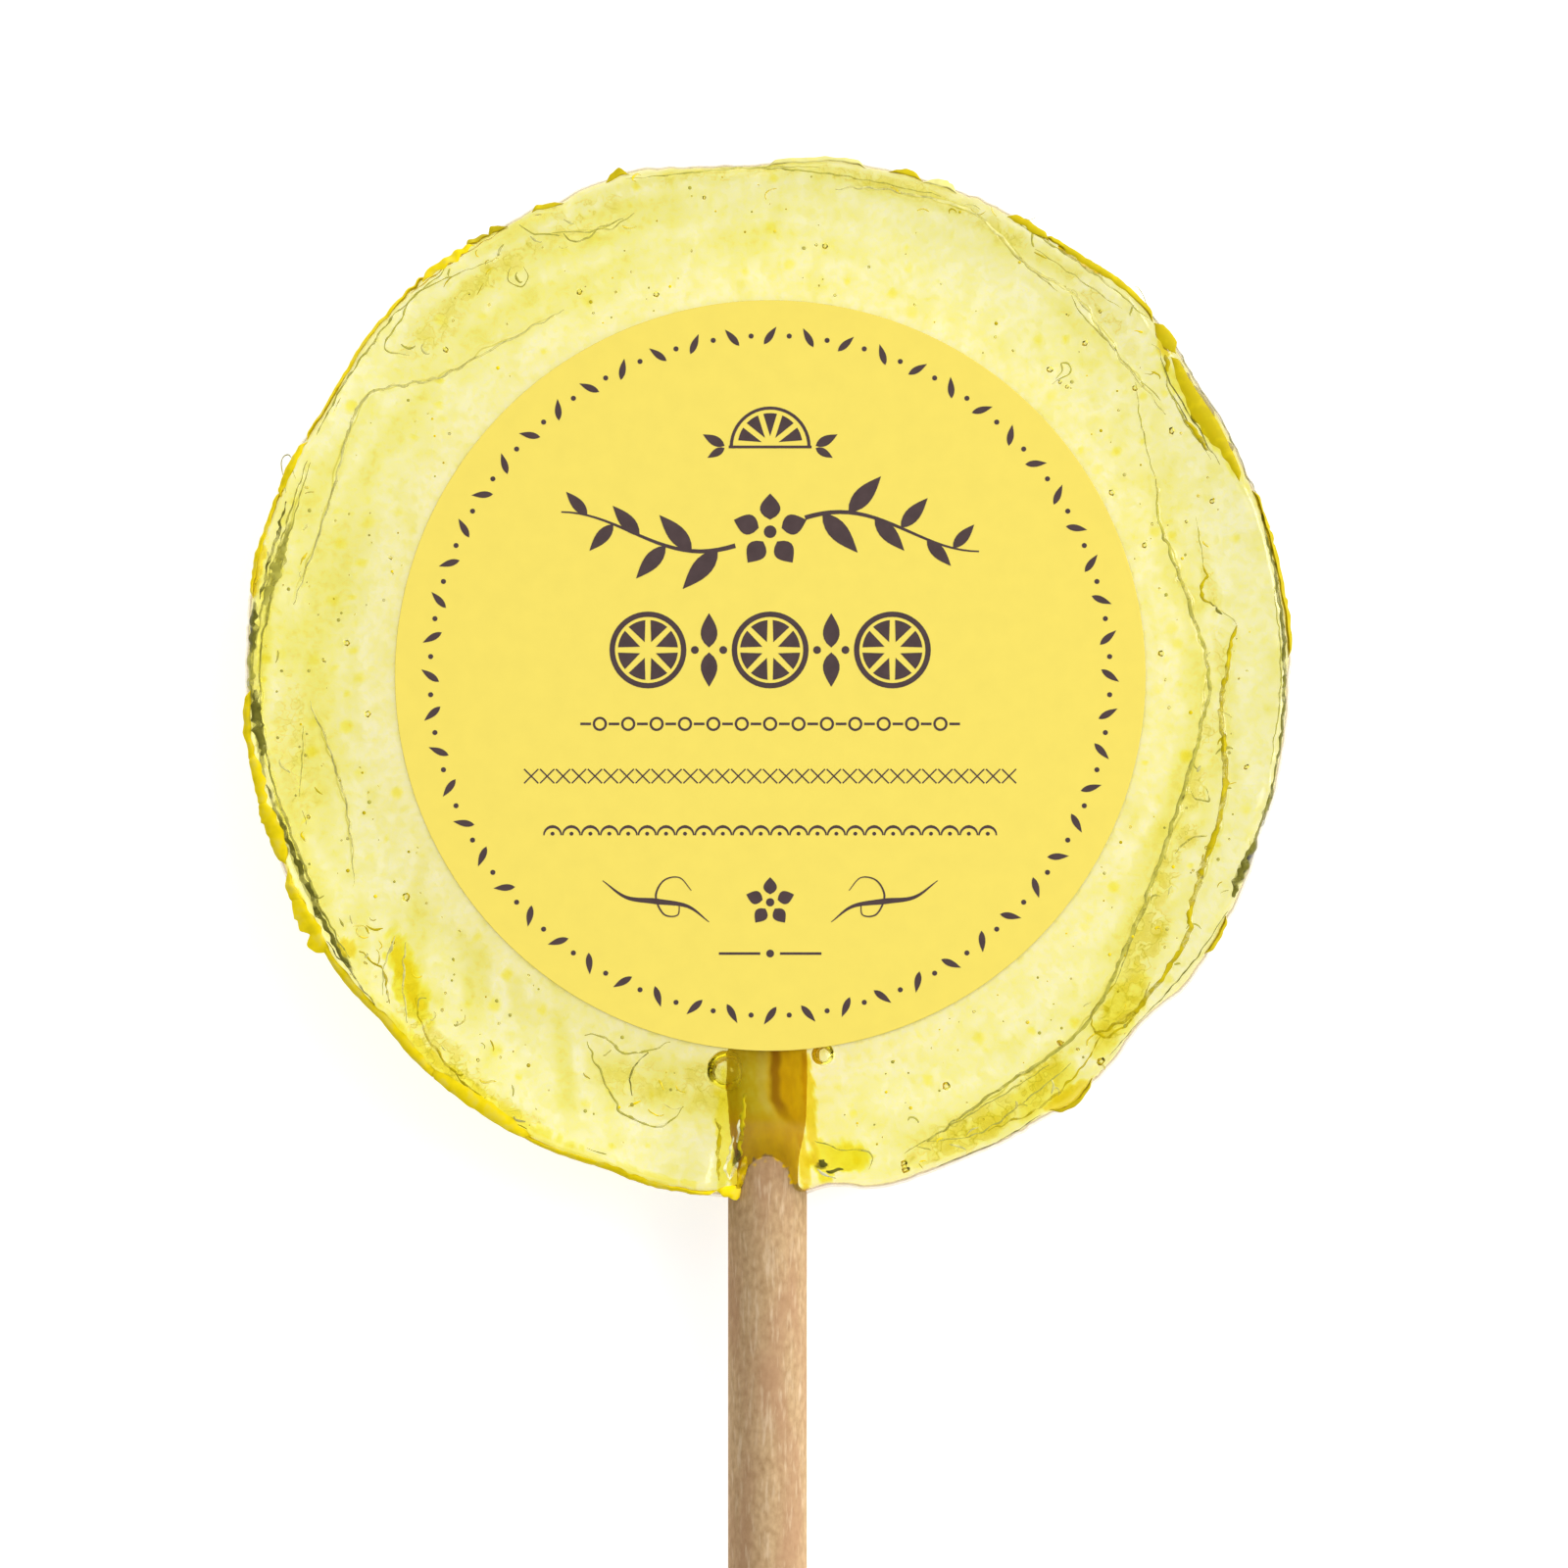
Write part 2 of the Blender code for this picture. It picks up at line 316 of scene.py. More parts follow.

# Clear, pale places: partly clearer candy, partly painted highlights where the clear candy shows bright
CLEAR_AND_HIGHLIGHT_PATCHES = (
    (252, 24.3, 4.5, 1.5, 0, 1.0),
    (238, 23.6, 3.5, 1.0, 10, 0.8),
    (228.8, 20.7, 1.8, 0.3, 46, 0.9),
    (244.6, 22.2, 3.4, 0.3, 57, 1.1),
    (216.5, 24.4, 2.0, 0.4, 22, 0.9),
    (143, 25.3, 4.0, 0.7, 0, 0.8),
    (129, 25.8, 3.5, 0.5, 0, 0.9),
    (113, 25.4, 1.5, 0.4, 0, 0.7),
    (150, 23.4, 3.0, 0.5, 0, 0.4),
    (60, 22.5, 8.0, 1.6, 0, 0.6),
    (59.5, 26.0, 2.5, 0.5, 0, 1.0),
    (70, 24.6, 3.5, 0.7, 0, 0.6),
    (43, 24.9, 3.2, 0.8, 8, 1.1),
    (318, 20.9, 4.5, 1.2, 0, 0.8),
    (293, 21.5, 4.0, 1.5, 0, 0.4),
    (309.5, 25.0, 0.9, 0.7, 0, 1.1),
    (328, 25.2, 3.6, 0.6, 0, 0.8),
    (345, 25.0, 4.5, 0.6, 0, 0.7),
    (12, 24.6, 6.0, 1.0, 0, 0.8),
    (0, 20.4, 7.0, 0.5, 0, 0.5),
    (28, 24.4, 3.0, 0.6, 0, 0.6),
    (180, 20.2, 9.0, 0.6, 0, 0.7),
    (205, 22.2, 3.5, 0.7, 0, 0.5),
    (120, 20.2, 9.0, 0.5, 0, 0.5),
)

# The ragged patches: their table, seed and softness
RAGGED_PATCHES = {
    "gold": (GOLD_PATCHES, 31, 0.4),
    "rough": (ROUGH_PATCHES, 36, 0.8),
    "syrup": (SYRUP_PATCHES, 38, 0.35),
    # The dark patches paint shade into the candy's colour
    "dark": (DARK_SHADE_PATCHES, 41, 0.4),
}

# Clouds between the patches, small smudges (in millimetres) and the light and shade by the label
CLOUDINESS = 0.25
CLOUD_SOFTNESS = 1.4
CLOUD_STREAKS = 0.15
CLOUD_MOTTLING = 0.25
CLOUD_STRENGTH = 1.1
CLEAR_STRENGTH = 0.6
SMUDGE_COUNT = 130
SMUDGE_BAND = (19.6, 25.8)
SMUDGE_SIZES = (0.1, 0.3)
SMUDGE_AMOUNTS = (0.3, 1.1)
LABEL_SHADE_WIDTH = 0.1 * MM
LABEL_SHADE_RINGS = (0.01 * MM, 0.06 * MM, 0.13 * MM, 0.25 * MM)
LABEL_GLOW = 0.6
LABEL_GLOW_WIDTH = 0.8 * MM

# Fine lines on the candy: tone, half width (mm), raggedness, then points as angle (degrees) and radius (mm)
# The dark lines are mostly painted shade, where the clear rim, seams and cracks would refract dark
# surroundings; the pale lines are painted highlights
RIM_LINES = (
    ("gold", 0.12, 0.3, (37.2, 25.5), (37.9, 25.75), (38.8, 26.0)),
    ("gold", 0.13, 0.3, (27, 25.12), (29, 25.0), (31.5, 24.88)),
    ("amber", 0.13, 0.3, (50, 26.45), (53, 26.35), (56, 26.3)),
    ("dark", 0.035, 0.3, (25, 25.35), (30, 25.2), (36, 25.3), (39, 25.7)),
    ("dark", 0.03, 0.3, (26, 25.05), (31, 24.95), (36, 25.05)),
    ("dark", 0.04, 0.3, (18, 27), (25, 27), (33, 27), (40, 27), (44, 27)),
    ("olive", 0.05, 0.4, (43, 26.5), (50, 26.3), (57, 26.2), (61, 26.3)),
    ("olive", 0.03, 0.4, (46, 25.9), (52, 25.6), (58, 25.6)),
    ("olive", 0.035, 0.4, (70, 25.9), (80, 25.65), (88, 25.7), (96, 25.95)),
    ("olive", 0.03, 0.4, (84, 25.95), (92, 25.8), (101, 25.9), (106, 26.2)),
    ("olive", 0.05, 0.5, (128, 26.35), (137, 26.3), (146, 26.1), (152, 25.95)),
    ("amber", 0.04, 0.5, (120, 26.3), (127, 26.4), (133, 26.5)),
    ("olive", 0.05, 0.5, (155, 25.8), (163, 25.6), (170, 25.85), (176, 25.95), (180, 26.2)),
    ("olive", 0.25, 0.4, (164, 25.3), (168, 25.5), (172, 25.75)),
    ("dark", 0.08, 0.6, (160, 25.95), (166, 25.9), (171.5, 26.1)),
    ("dark", 0.2, 0.3, (172, 26.25), (174.6, 26.2), (177.5, 26.15)),
    ("olive", 0.12, 0.6, (177, 26.3), (180, 26.2), (182.5, 26.2)),
    ("dark", 0.25, 0.3, (181.5, 26.05), (185, 26.0), (189, 25.9)),
    ("dark", 0.13, 0.4, (192.3, 26.0), (196, 25.8), (200.5, 25.68), (206, 25.7), (211.2, 25.8),
     (216.5, 25.95)),
    ("olive", 0.05, 0.4, (194, 25.55), (201, 25.4), (208, 25.5), (213, 25.6)),
    ("dark", 0.04, 0.5, (211, 26.15), (214, 26.0), (217, 25.95), (220, 26.0)),
    ("gold", 0.06, 0.4, (222.6, 24.2), (225, 24.9), (228.5, 25.35), (233, 25.75), (238, 26.0), (242, 26.1)),
    ("gold", 0.06, 0.6, (214, 25.0), (217, 24.6), (219, 24.9), (221, 25.4)),
    ("faint", 0.05, 0.3, (216.5, 22.8), (218.6, 23.6), (221, 24.5), (224, 25.3)),
    ("faint", 0.05, 0.3, (214.8, 23.0), (216.2, 23.8), (217.6, 24.6), (219.8, 25.4)),
    ("dark", 0.09, 0.35, (345, 26.3), (353, 26.27), (361, 26.27), (369, 26.28), (375, 26.35), (380, 26.48)),
    ("dark", 0.05, 0.3, (378, 26.42), (382, 26.52), (388, 26.6)),
    ("olive", 0.04, 0.4, (350, 26.0), (360, 26.08), (370, 26.15)),
    ("dark", 0.2, 0.5, (334.5, 26.2), (338, 26.05), (341.5, 26.2)),
    ("dark", 0.12, 0.5, (341, 26.3), (345, 26.2), (348, 26.3)),
    ("dark", 0.035, 0.4, (289, 26.4), (296, 26.4), (302, 26.3)),
    ("dark", 0.03, 0.4, (312, 25.95), (318, 25.8), (325, 26.0), (333, 26.3)),
    ("olive", 0.04, 0.4, (289, 25.0), (295, 25.6), (302, 25.2), (308, 25.0)),
    ("olive", 0.04, 0.4, (286, 25.2), (292, 24.7), (299, 24.4), (306, 24.4)),
    ("gold", 0.05, 0.5, (296, 25.7), (302, 25.9), (308, 25.6), (313, 24.9)),
    ("dark", 0.16, 0.5, (276.0, 24.75), (276.5, 24.95), (277.0, 25.0)),
    ("dark", 0.08, 0.5, (276.8, 25.3), (277.6, 25.4), (278.8, 25.35)),
    # Painted highlight beside the crack
    ("pale", 0.07, 0.4, (275.6, 25.2), (276.6, 25.5), (277.8, 25.75)),
    ("dark", 0.12, 0.4, (266.6, 24.2), (266.4, 24.6), (266.0, 25.0)),
    ("pale", 0.08, 0.4, (265.7, 23.4), (265.6, 24.2), (265.3, 25.0), (265.6, 25.6)),
    ("gold", 0.1, 0.5, (263.4, 22.6), (264.2, 23.6), (264.0, 24.6), (264.6, 25.8)),
    ("faint", 0.05, 0.4, (5.5, 23.9), (7.1, 23.8), (8.2, 23.25), (9.1, 22.9)),
    ("gold", 0.08, 0.5, (9.1, 22.85), (9.8, 22.55), (10.8, 22.4), (11.9, 22.55), (12.9, 22.9),
     (14.3, 22.85)),
    ("olive", 0.03, 0.4, (14.3, 22.85), (17.5, 23.0), (20.5, 23.2)),
    ("dark", 0.07, 0.3, (7.6, 23.3), (8.1, 23.15), (8.7, 23.05)),
    ("dark", 0.05, 0.3, (8.9, 22.95), (9.2, 22.8), (9.6, 22.75)),
)

# Lines on the face, in the same form, with points in millimetres across the candy
FACE_LINES = (
    ("olive", 0.05, 0.3, (-10.35, 22.45), (-9.95, 22.05), (-9.15, 22.2), (-8.35, 22.8), (-7.3, 23.2)),
    ("olive", 0.045, 0.3, (-12.5, 22.85), (-11.8, 22.4), (-11.0, 22.4), (-10.5, 22.35)),
    ("olive", 0.035, 0.3, (-13.0, 20.75), (-13.15, 20.05), (-12.6, 19.75), (-12.1, 20.2), (-12.35, 20.75)),
    ("olive", 0.045, 0.3, (-13.9, 21.1), (-17.65, 19.5), (-18.65, 18.0), (-19.4, 16.65), (-18.15, 16.25)),
    ("olive", 0.03, 0.3, (-23.55, -2.55), (-23.6, -4.2), (-23.75, -6.15)),
    ("dark", 0.045, 0.3, (-6.0, -19.15), (-6.75, -19.85), (-6.95, -20.5), (-6.8, -21.3)),
    ("olive", 0.06, 0.4, (-9.3, -18.25), (-8.5, -18.25), (-7.8, -18.75), (-7.15, -19.15),
     (-6.1, -19.05), (-4.9, -18.6)),
    ("olive", 0.06, 0.4, (-9.15, -18.5), (-8.75, -19.55), (-7.8, -21.45), (-7.15, -22.35),
     (-5.4, -22.9), (-4.2, -21.9)),
    ("olive", 0.03, 0.3, (-9.15, -23.95), (-8.6, -24.2), (-8.1, -24.3)),
    ("olive", 0.04, 0.3, (-17.75, -17.05), (-17.65, -16.5), (-17.3, -16.3)),
    ("gold", 0.06, 0.6, (19.45, -15.55), (18.6, -17.3), (17.25, -18.35), (16.6, -17.95), (16.6, -17.05),
     (17.65, -15.55)),
    ("olive", 0.04, 0.4, (17.65, -15.55), (18.7, -12.9), (19.4, -11.3)),
    ("olive", 0.04, 0.4, (21.5, -5.85), (21.75, -6.25), (22.45, -6.35), (22.25, -5.75)),
    ("olive", 0.05, 0.5, (20.7, -9.05), (21.5, -8.25), (22.3, -8.1)),
    ("olive", 0.045, 0.4, (14.45, 14.75), (14.9, 15.05), (15.35, 15.45), (15.3, 15.9), (14.95, 15.85),
     (14.95, 15.4), (14.7, 15.0)),
    ("olive", 0.04, 0.4, (15.4, 19.3), (16.05, 18.2), (17.4, 16.85), (18.7, 15.25), (20.0, 13.95)),
    ("olive", 0.04, 0.4, (11.85, 22.1), (13.15, 20.8), (14.75, 19.5)),
    ("olive", 0.05, 0.4, (20.0, 15.9), (20.65, 13.95), (21.6, 12.3), (22.6, 11.3)),
    ("olive", 0.035, 0.4, (18.7, 14.9), (19.0, 12.65), (19.65, 10.1)),
    ("gold", 0.12, 0.5, (-1.15, -21.2), (-1.2, -22.3), (-1.35, -23.6), (-1.4, -24.4)),
    # Pale slivers by the stick: painted highlights
    ("pale", 0.07, 0.4, (-1.35, -22.6), (-1.45, -23.2), (-1.5, -23.7)),
    ("pale", 0.09, 0.4, (-1.5, -24.7), (-1.7, -25.1), (-1.95, -25.6)),
    ("amber", 0.2, 0.1, (-1.1, -24.4), (-1.25, -25.2), (-1.5, -26.1)),
    ("olive", 0.04, 0.4, (2.4, -23.6), (3.5, -24.0), (4.9, -24.1), (5.4, -24.5), (5.1, -25.0)),
    ("olive", 0.025, 0.2, (12.6, 23.15), (13.0, 23.25), (13.35, 23.25), (13.7, 23.4)),
    ("olive", 0.02, 0.2, (18.6, 19.75), (18.85, 19.8), (19.15, 19.3), (19.3, 19.0), (19.5, 18.7)),
    ("olive", 0.03, 0.2, (-24.4, 9.3), (-24.7, 10.5), (-24.65, 11.1), (-24.35, 11.25), (-24.1, 10.75),
     (-23.95, 10.0)),
)
# The pale tone is painted highlight, the dark tone mostly painted shade
LINE_TONES = {
    "pale": 0.0,
    "amber": 0.2,
    "gold": 0.35,
    "bright": 0.5,
    "faint": 0.65,
    "olive": 0.8,
    "dark": 0.95,
}
# A line is a ridge with this many sides: its rise is a share of its half width, but no more than the tallest
LINE_SIDES = 8
LINE_RISE = 0.3
LINE_TALLEST = 0.05
LINE_WIGGLE = 0.05
# Lines at least this wide rest on the candy smoothed and lifted a little (mm)
WIDE_LINE = 0.2
WIDE_LINE_SMOOTHING = 15
WIDE_LINE_LIFT = 0.07

# Scattered short creases: middle and half extent in degrees, lowest and highest radius (mm), count
CREASE_AREAS = (
    (128, 24, 23.4, 26.2, 16),
    (63, 26, 24.6, 26.6, 14),
    (312, 26, 22.8, 26.0, 24),
    (225, 16, 23.2, 26.2, 18),
    (355, 22, 22.0, 24.0, 10),
    (252, 8, 19.8, 23.0, 8),
    (185, 28, 23.4, 26.2, 16),
)
CREASE_STEP = (0.06, 0.2)
CREASE_HALF_WIDTH = (0.025, 0.07)
CREASE_STEPS = 5
CREASE_RAGGED = 0.3

# Grains seen as small dark or golden dots: sizes in millimetres
GRAIN_COUNT = 200
GRAIN_BAND = (19.5, 25.6)
GRAIN_FLATNESS = 0.3
GRAIN_RADII = (0.04, 0.11)

# Bubbles in the candy that stand out: place across it, height and radius, in millimetres
NAMED_BUBBLES = (
    (-2.1, -20.05, 4.2, 1.05),
    (2.85, -19.25, 4.4, 0.6),
    (18.7, 14.55, 4.0, 0.17),
    (17.55, 9.35, 4.4, 0.2),
    (20.6, 12.5, 3.6, 0.2),
    (19.2, 6.65, 4.2, 0.2),
    (22.6, 8.85, 4.6, 0.16),
    (9.1, -20.85, 4.8, 0.25),
    (6.95, -24.8, 4.0, 0.2),
    (14.85, -18.65, 4.6, 0.25),
    (17.1, -19.7, 3.4, 0.28),
    (-18.4, -11.25, 4.4, 0.24),
    (-20.3, -1.95, 4.8, 0.2),
    (2.95, 21.8, 4.8, 0.2),
    (-5.65, 19.4, 4.9, 0.18),
    (-9.55, 19.55, 4.4, 0.18),
    (-16.4, 16.55, 4.0, 0.17),
    (16.1, 16.95, 4.2, 0.18),
    (20.0, 1.15, 4.6, 0.18),
    (-21.4, 1.7, 4.2, 0.18),
    (14.4, 15.6, 4.5, 0.17),
    (14.9, 15.0, 4.5, 0.14),
    (15.25, 14.75, 4.5, 0.11),
)
LARGE_BUBBLE = 0.5
SMALL_BUBBLE_COUNT = 110
BUBBLE_BAND = (19.4, 25.2)
SMALL_BUBBLE_RADII = (0.045, 0.13)
BUBBLE_HEIGHTS = (1.5, 5.2)

# Stick: its rolled paper and its ends
STICK_SIDES = 120
STICK_RINGS = 120
PAPER_LEDGE = 0.035 * MM
ROLL_PITCH = 0.27 * MM
ROLL_GROOVE = 0.05 * MM
PIN_HOLE = 0.2 * MM
PIN_HOLE_DEPTH = 1.5 * MM
END_BEVEL = 0.1 * MM
END_BEVEL_LENGTH = 0.15 * MM
BURIED_BEVEL_LENGTH = 0.2 * MM
END_RINGS = 30

# The part of the stick that syrup has soaked, and the pale streak down its middle, in millimetres
SOAK_ZONE = (-18.5 * MM, -27 * MM)
SOAK_RINGS = 100
SOAK_END = -25.75 * MM
SOAK_FADE = 0.1 * MM
SOAK_FRAY = 0.12
STREAK_PLACE = 0.05
STREAK_BEND = 0.11
STREAK_STRAIGHT = 2.1
STREAK_LENGTH = 4.5
STREAK_ENDING = 1.3
STREAK_SWAY = 0.04
# Bands beside the line of the streak: strength, distance to its right, width and how full it is
SOAKED_BANDS = {
    "core": (1, 0.35, 0.3, 1.4),
    "streak": (0.3, -0.3, 0.35, 1.2),
}

# Label and its print, whose crossing shapes lie in layers
LABEL_PAPER = 0.12 * MM
LABEL_SUNK = 0.02 * MM
LABEL_BEVEL = 0.02 * MM
LABEL_SIDES = 256
LABEL_TOP = FACE_HEIGHT + LABEL_PAPER
INK_HEIGHT = 0.02 * MM
INK_SUNK = 0.01 * MM
INK_LAYER = 0.003 * MM

# Colours, linear
FLOOR_WHITE = (0.62, 0.62, 0.62)
FLOOR_GLOW = 0.72
CANDY_BODY_COLOUR = (0.965, 0.915, 0.0)
CANDY_ABSORPTION = 58.0
CANDY_HAZE = (0.98, 0.975, 0.75)
BLOTCH_TINT = (0.93, 0.91, 0.5)
FLECK_TINT = (0.92, 0.89, 0.45)
CANDY_TINTS = {
    "cloud": (0.88, 0.84, 0.30),
    "yellow": (0.95, 0.86, 0.10),
    "syrup": (0.84, 0.72, 0.01),
    "rough": (0.78, 0.67, 0.17),
    "gold": (0.78, 0.52, 0.004),
    "seam": (0.60, 0.57, 0.12),
    "shade": (0.50, 0.48, 0.34),
    # Painted shade: the dark tint, where the clear edge would refract dark surroundings
    "dark": (0.07, 0.065, 0.01),
}
SPECK_AMOUNT = 0.6
CRINKLE_TINT = (0.72, 0.68, 0.2)
CRINKLES = ((700.0, 0.02), (1500.0, 0.03))
LABEL_YELLOW = (0.93, 0.755, 0.13)
LABEL_DARKER = tuple(0.97 * part for part in LABEL_YELLOW)
INK_BROWN = (0.07, 0.045, 0.045)
INK_LIGHTER = tuple(1.25 * part for part in INK_BROWN)
KRAFT_LIGHT = (0.63, 0.43, 0.235)
KRAFT_DARK = (0.41, 0.255, 0.12)
TONE_COLOURS = {
    # Painted shade
    "dark": (0.16, 0.15, 0.02),
    "olive": (0.50, 0.46, 0.07),
    "faint": (0.70, 0.66, 0.24),
    "amber": (0.64, 0.43, 0.002),
    "gold": (0.53, 0.42, 0.005),
    "bright": (0.96, 0.745, 0.006),
    # Painted highlight
    "pale": (0.94, 0.91, 0.55),
}
TONE_SPREAD = 0.08
SOAKED_LEFT = (1.0, 0.84, 0.12)
SOAKED_MOTTLE = (0.92, 0.70, 0.03)
SOAKED_STREAK = (1.0, 0.80, 0.45)
SOAKED_RIGHT = (0.97, 0.64, 0.001)
SOAKED_DEEP = (0.84, 0.50, 0.001)
SOAKED_CORE = (0.50, 0.24, 0.001)

# Marks on the stick's dry paper: their mask, amount and colour
KRAFT_MARKS = (
    ("stains", 0.6, (0.44, 0.24, 0.13)),
    ("threads", 0.55, (0.76, 0.58, 0.38)),
)
# Unevenness of the stick's paper: its stretch, scale, detail, low and high
KRAFT_MASKS = {
    "mottle": ((1, 0.6, 1), 3500.0, 8.0, 0.25, 0.74),
    "stains": ((1, 0.25, 1), 600.0, 4.0, 0.42, 0.64),
    "threads": ((1.5, 0.25, 1.5), 3000.0, 3.0, 0.54, 0.72),
    "streaks": ((1, 0.5, 1), 1300.0, 6.0, 0.35, 0.62),
}

# Floor and studio light: the sky is dim low down and at its top, with heights and brightnesses between
FLOOR_HALF_SIZE = 3.0
FLOOR_DROP = 0.05 * MM
DIM_LEFT = 0.55
DIM_FRONT = 0.2
SKY_STRENGTH = 1.08
SKY_LOW = 0.3
SKY_LEVELS = ((0.5, 1.0), (0.78, 1.0), (0.97, 0.05))
SKY_TOP = 0.05
KEY_PLACE = (0.7, 0.15, 0.45)
KEY_SIZE = 0.5
KEY_POWER = 4.0

# Camera straight above the picture's middle
FRAME_WIDTH = 80 * MM
CAMERA_HEIGHT = 0.6
CAMERA_OFFSET = (0.85 * MM, -5.5 * MM)
SENSOR_WIDTH = 36


# Shapes of the rim and face

def angle_between(a, b):
    """Signed difference of two angles in degrees, from -180 to 180."""
    return (a - b + 180) % 360 - 180


def smooth_step(value):
    t = np.clip(value, 0.0, 1.0)
    return t * t * (3 - 2 * t)


def smooth_bump(angle, centre, half_width):
    """Falls from 1 at the centre to 0 at half the width on each side."""
    offset = np.abs(angle_between(angle, centre))
    return 0.5 + 0.5 * np.cos(np.pi * np.minimum(offset / half_width, 1))


def wave_noise(x, y, size, seed, waves=9):
    """Smooth, seeded unevenness between about -1 and 1, with lumps of the given size."""
    draw = random.Random(seed)
    total = np.zeros_like(x)
    for _ in range(waves):
        turn = draw.uniform(0, math.tau)
        pitch = size * draw.uniform(0.7, 1.5)
        phase = draw.uniform(0, math.tau)
        total = total + np.sin(math.tau * (x * math.cos(turn) + y * math.sin(turn)) / pitch + phase)
    return total / math.sqrt(waves)


def wave_sum(x, y, waves, first_seed=0):
    return sum(strength * wave_noise(x, y, size, first_seed + seed) for strength, size, seed in waves)


def rim_noise(angle, lumps, seed):
    """Unevenness round the rim that meets itself after a full turn."""
    turn = np.radians(angle)
    return wave_noise(np.cos(turn), np.sin(turn), math.tau / lumps, seed)


def rim_sum(angle, waves):
    return sum(strength * rim_noise(angle, lumps, seed) for strength, lumps, seed in waves)


def sum_of_bumps(angle, table):
    return sum(height * smooth_bump(angle, centre, half_width) for centre, half_width, height in table)


def rim_radius(angle):
    """Radius of the rim, with its dips and swells, roughness and chips."""
    swells = sum_of_bumps(angle, RIM_SWELLS) * MM
    rough = RIM_ROUGHNESS * rim_sum(angle, RIM_LUMPS)
    chips = np.abs(rim_noise(angle, 110, 17)) + 0.5 * rim_noise(angle, 330, 18)
    return CANDY_RADIUS + swells + rough + sum_of_bumps(angle, ROUGH_STRETCHES) * MM * chips


def edge_rounding(angle):
    """Width of the rounding between the face and the wall."""
    uneven = 1 + 0.25 * rim_noise(angle, 40, 14)
    return EDGE_ROUNDING * uneven + sum_of_bumps(angle, ROUNDED_STRETCHES) * MM


def seam_track(angle, seams):
    """Radius of the seam line at each angle, and how strongly it shows there."""
    known_angles = []
    known_radii = []
    strength = np.zeros_like(angle)
    for _, _, _, *points in seams:
        known_angles += [point[0] for point in points]
        known_radii += [point[1] for point in points]
        start, end = points[0][0], points[-1][0]
        middle = (start + end) / 2
        inside = (end - start) / 2 - np.abs(angle_between(angle, middle))
        strength = np.maximum(strength, smooth_step(inside / 4))
    order = np.argsort(np.mod(known_angles, 360))
    radius = np.interp(angle, np.mod(known_angles, 360)[order], np.array(known_radii)[order], period=360)
    return (radius + rim_sum(angle, SEAM_WIGGLE)) * MM, strength


def label_edge(angle):
    """Distance from the candy's middle to the label's edge."""
    turn = np.radians(angle)
    return LABEL_CENTRE_X * np.cos(turn) + np.sqrt(LABEL_RADIUS ** 2 - (LABEL_CENTRE_X * np.sin(turn)) ** 2)


def label_shade(angle, radius):
    """Thin shade along the label's edge, stronger on the side of the stick."""
    side = 0.65 - 0.35 * np.sin(np.radians(angle))
    return side * np.exp(-np.maximum(radius - label_edge(angle), 0) / LABEL_SHADE_WIDTH)


def face_place(angle, radius):
    """Place across the face in millimetres."""
    turn = np.radians(angle)
    return radius * np.cos(turn) / MM, radius * np.sin(turn) / MM


def patch_mask(angle, radius, patches, ragged, softness):
    """How strongly the listed patches colour each point, from 0 to 1."""
    mask = np.zeros_like(radius)
    for centre, patch_radius, half_length, half_width, slant, strength in patches:
        along = radius / MM * np.radians(angle_between(angle, centre))
        out = radius / MM - patch_radius
        cos, sin = math.cos(math.radians(slant)), math.sin(math.radians(slant))
        distance = np.hypot((along * cos + out * sin) / half_length, (out * cos - along * sin) / half_width)
        mask = np.maximum(mask, strength * smooth_step((1 + softness / 2 - distance + ragged) / softness))
    return mask


def ragged_patches(angle, radius, patches, seed, softness):
    """The listed patches, with edges made ragged from the seed."""
    x, y = face_place(angle, radius)
    return patch_mask(angle, radius, patches, wave_sum(x, y, PATCH_EDGES, seed), softness)


def cloudiness(angle, radius):
    """Soft clouds of the candy: placed ones, with streaks and mottling between them."""
    x, y = face_place(angle, radius)
    ragged = 0.2 * wave_noise(x, y, 4, 51)
    cloudy = patch_mask(angle, radius, CLOUDY_PATCHES, ragged, CLOUD_SOFTNESS)
    # Clear places are partly clearer candy and partly painted highlights
    clear = patch_mask(angle, radius, CLEAR_AND_HIGHLIGHT_PATCHES, ragged, CLOUD_SOFTNESS)
    streaks = wave_noise(radius / MM, np.radians(angle) * 5, 1.6, 52)
    between = CLOUDINESS + CLOUD_STREAKS * streaks + CLOUD_MOTTLING * wave_sum(x, y, MOTTLING)
    clear = clear + LABEL_GLOW * np.exp(-np.maximum(radius - PAD_RADIUS, 0) / LABEL_GLOW_WIDTH)
    return np.clip(between + CLOUD_STRENGTH * cloudy - CLEAR_STRENGTH * clear, 0, 2)


def smudges(angle, radius):
    """Small soft spots of deeper yellow, scattered with a fixed seed."""
    x, y = face_place(angle, radius)
    draw = random.Random(61)
    mask = np.zeros_like(radius)
    for _ in range(SMUDGE_COUNT):
        centre, spot_radius = draw.uniform(0, 360), draw.uniform(*SMUDGE_BAND)
        size, amount = draw.uniform(*SMUDGE_SIZES), draw.uniform(*SMUDGE_AMOUNTS)
        spot_x, spot_y = face_place(centre, spot_radius * MM)
        distance = np.hypot(x - spot_x, y - spot_y) / size
        mask = np.maximum(mask, amount * smooth_step(1.5 - distance))
    return mask


def pinch(angle, radius):
    """How far the face sinks towards the stick."""
    sideways = radius * np.sin(np.radians(angle_between(angle, PINCH_ANGLE)))
    across = smooth_step(1 - np.abs(sideways) / PINCH_HALF_WIDTH)
    along = smooth_step((radius - PINCH_START) / (CANDY_RADIUS - PINCH_START))
    near_stick = np.cos(np.radians(angle_between(angle, PINCH_ANGLE))) > 0
    return PINCH_DEPTH * across * along * near_stick


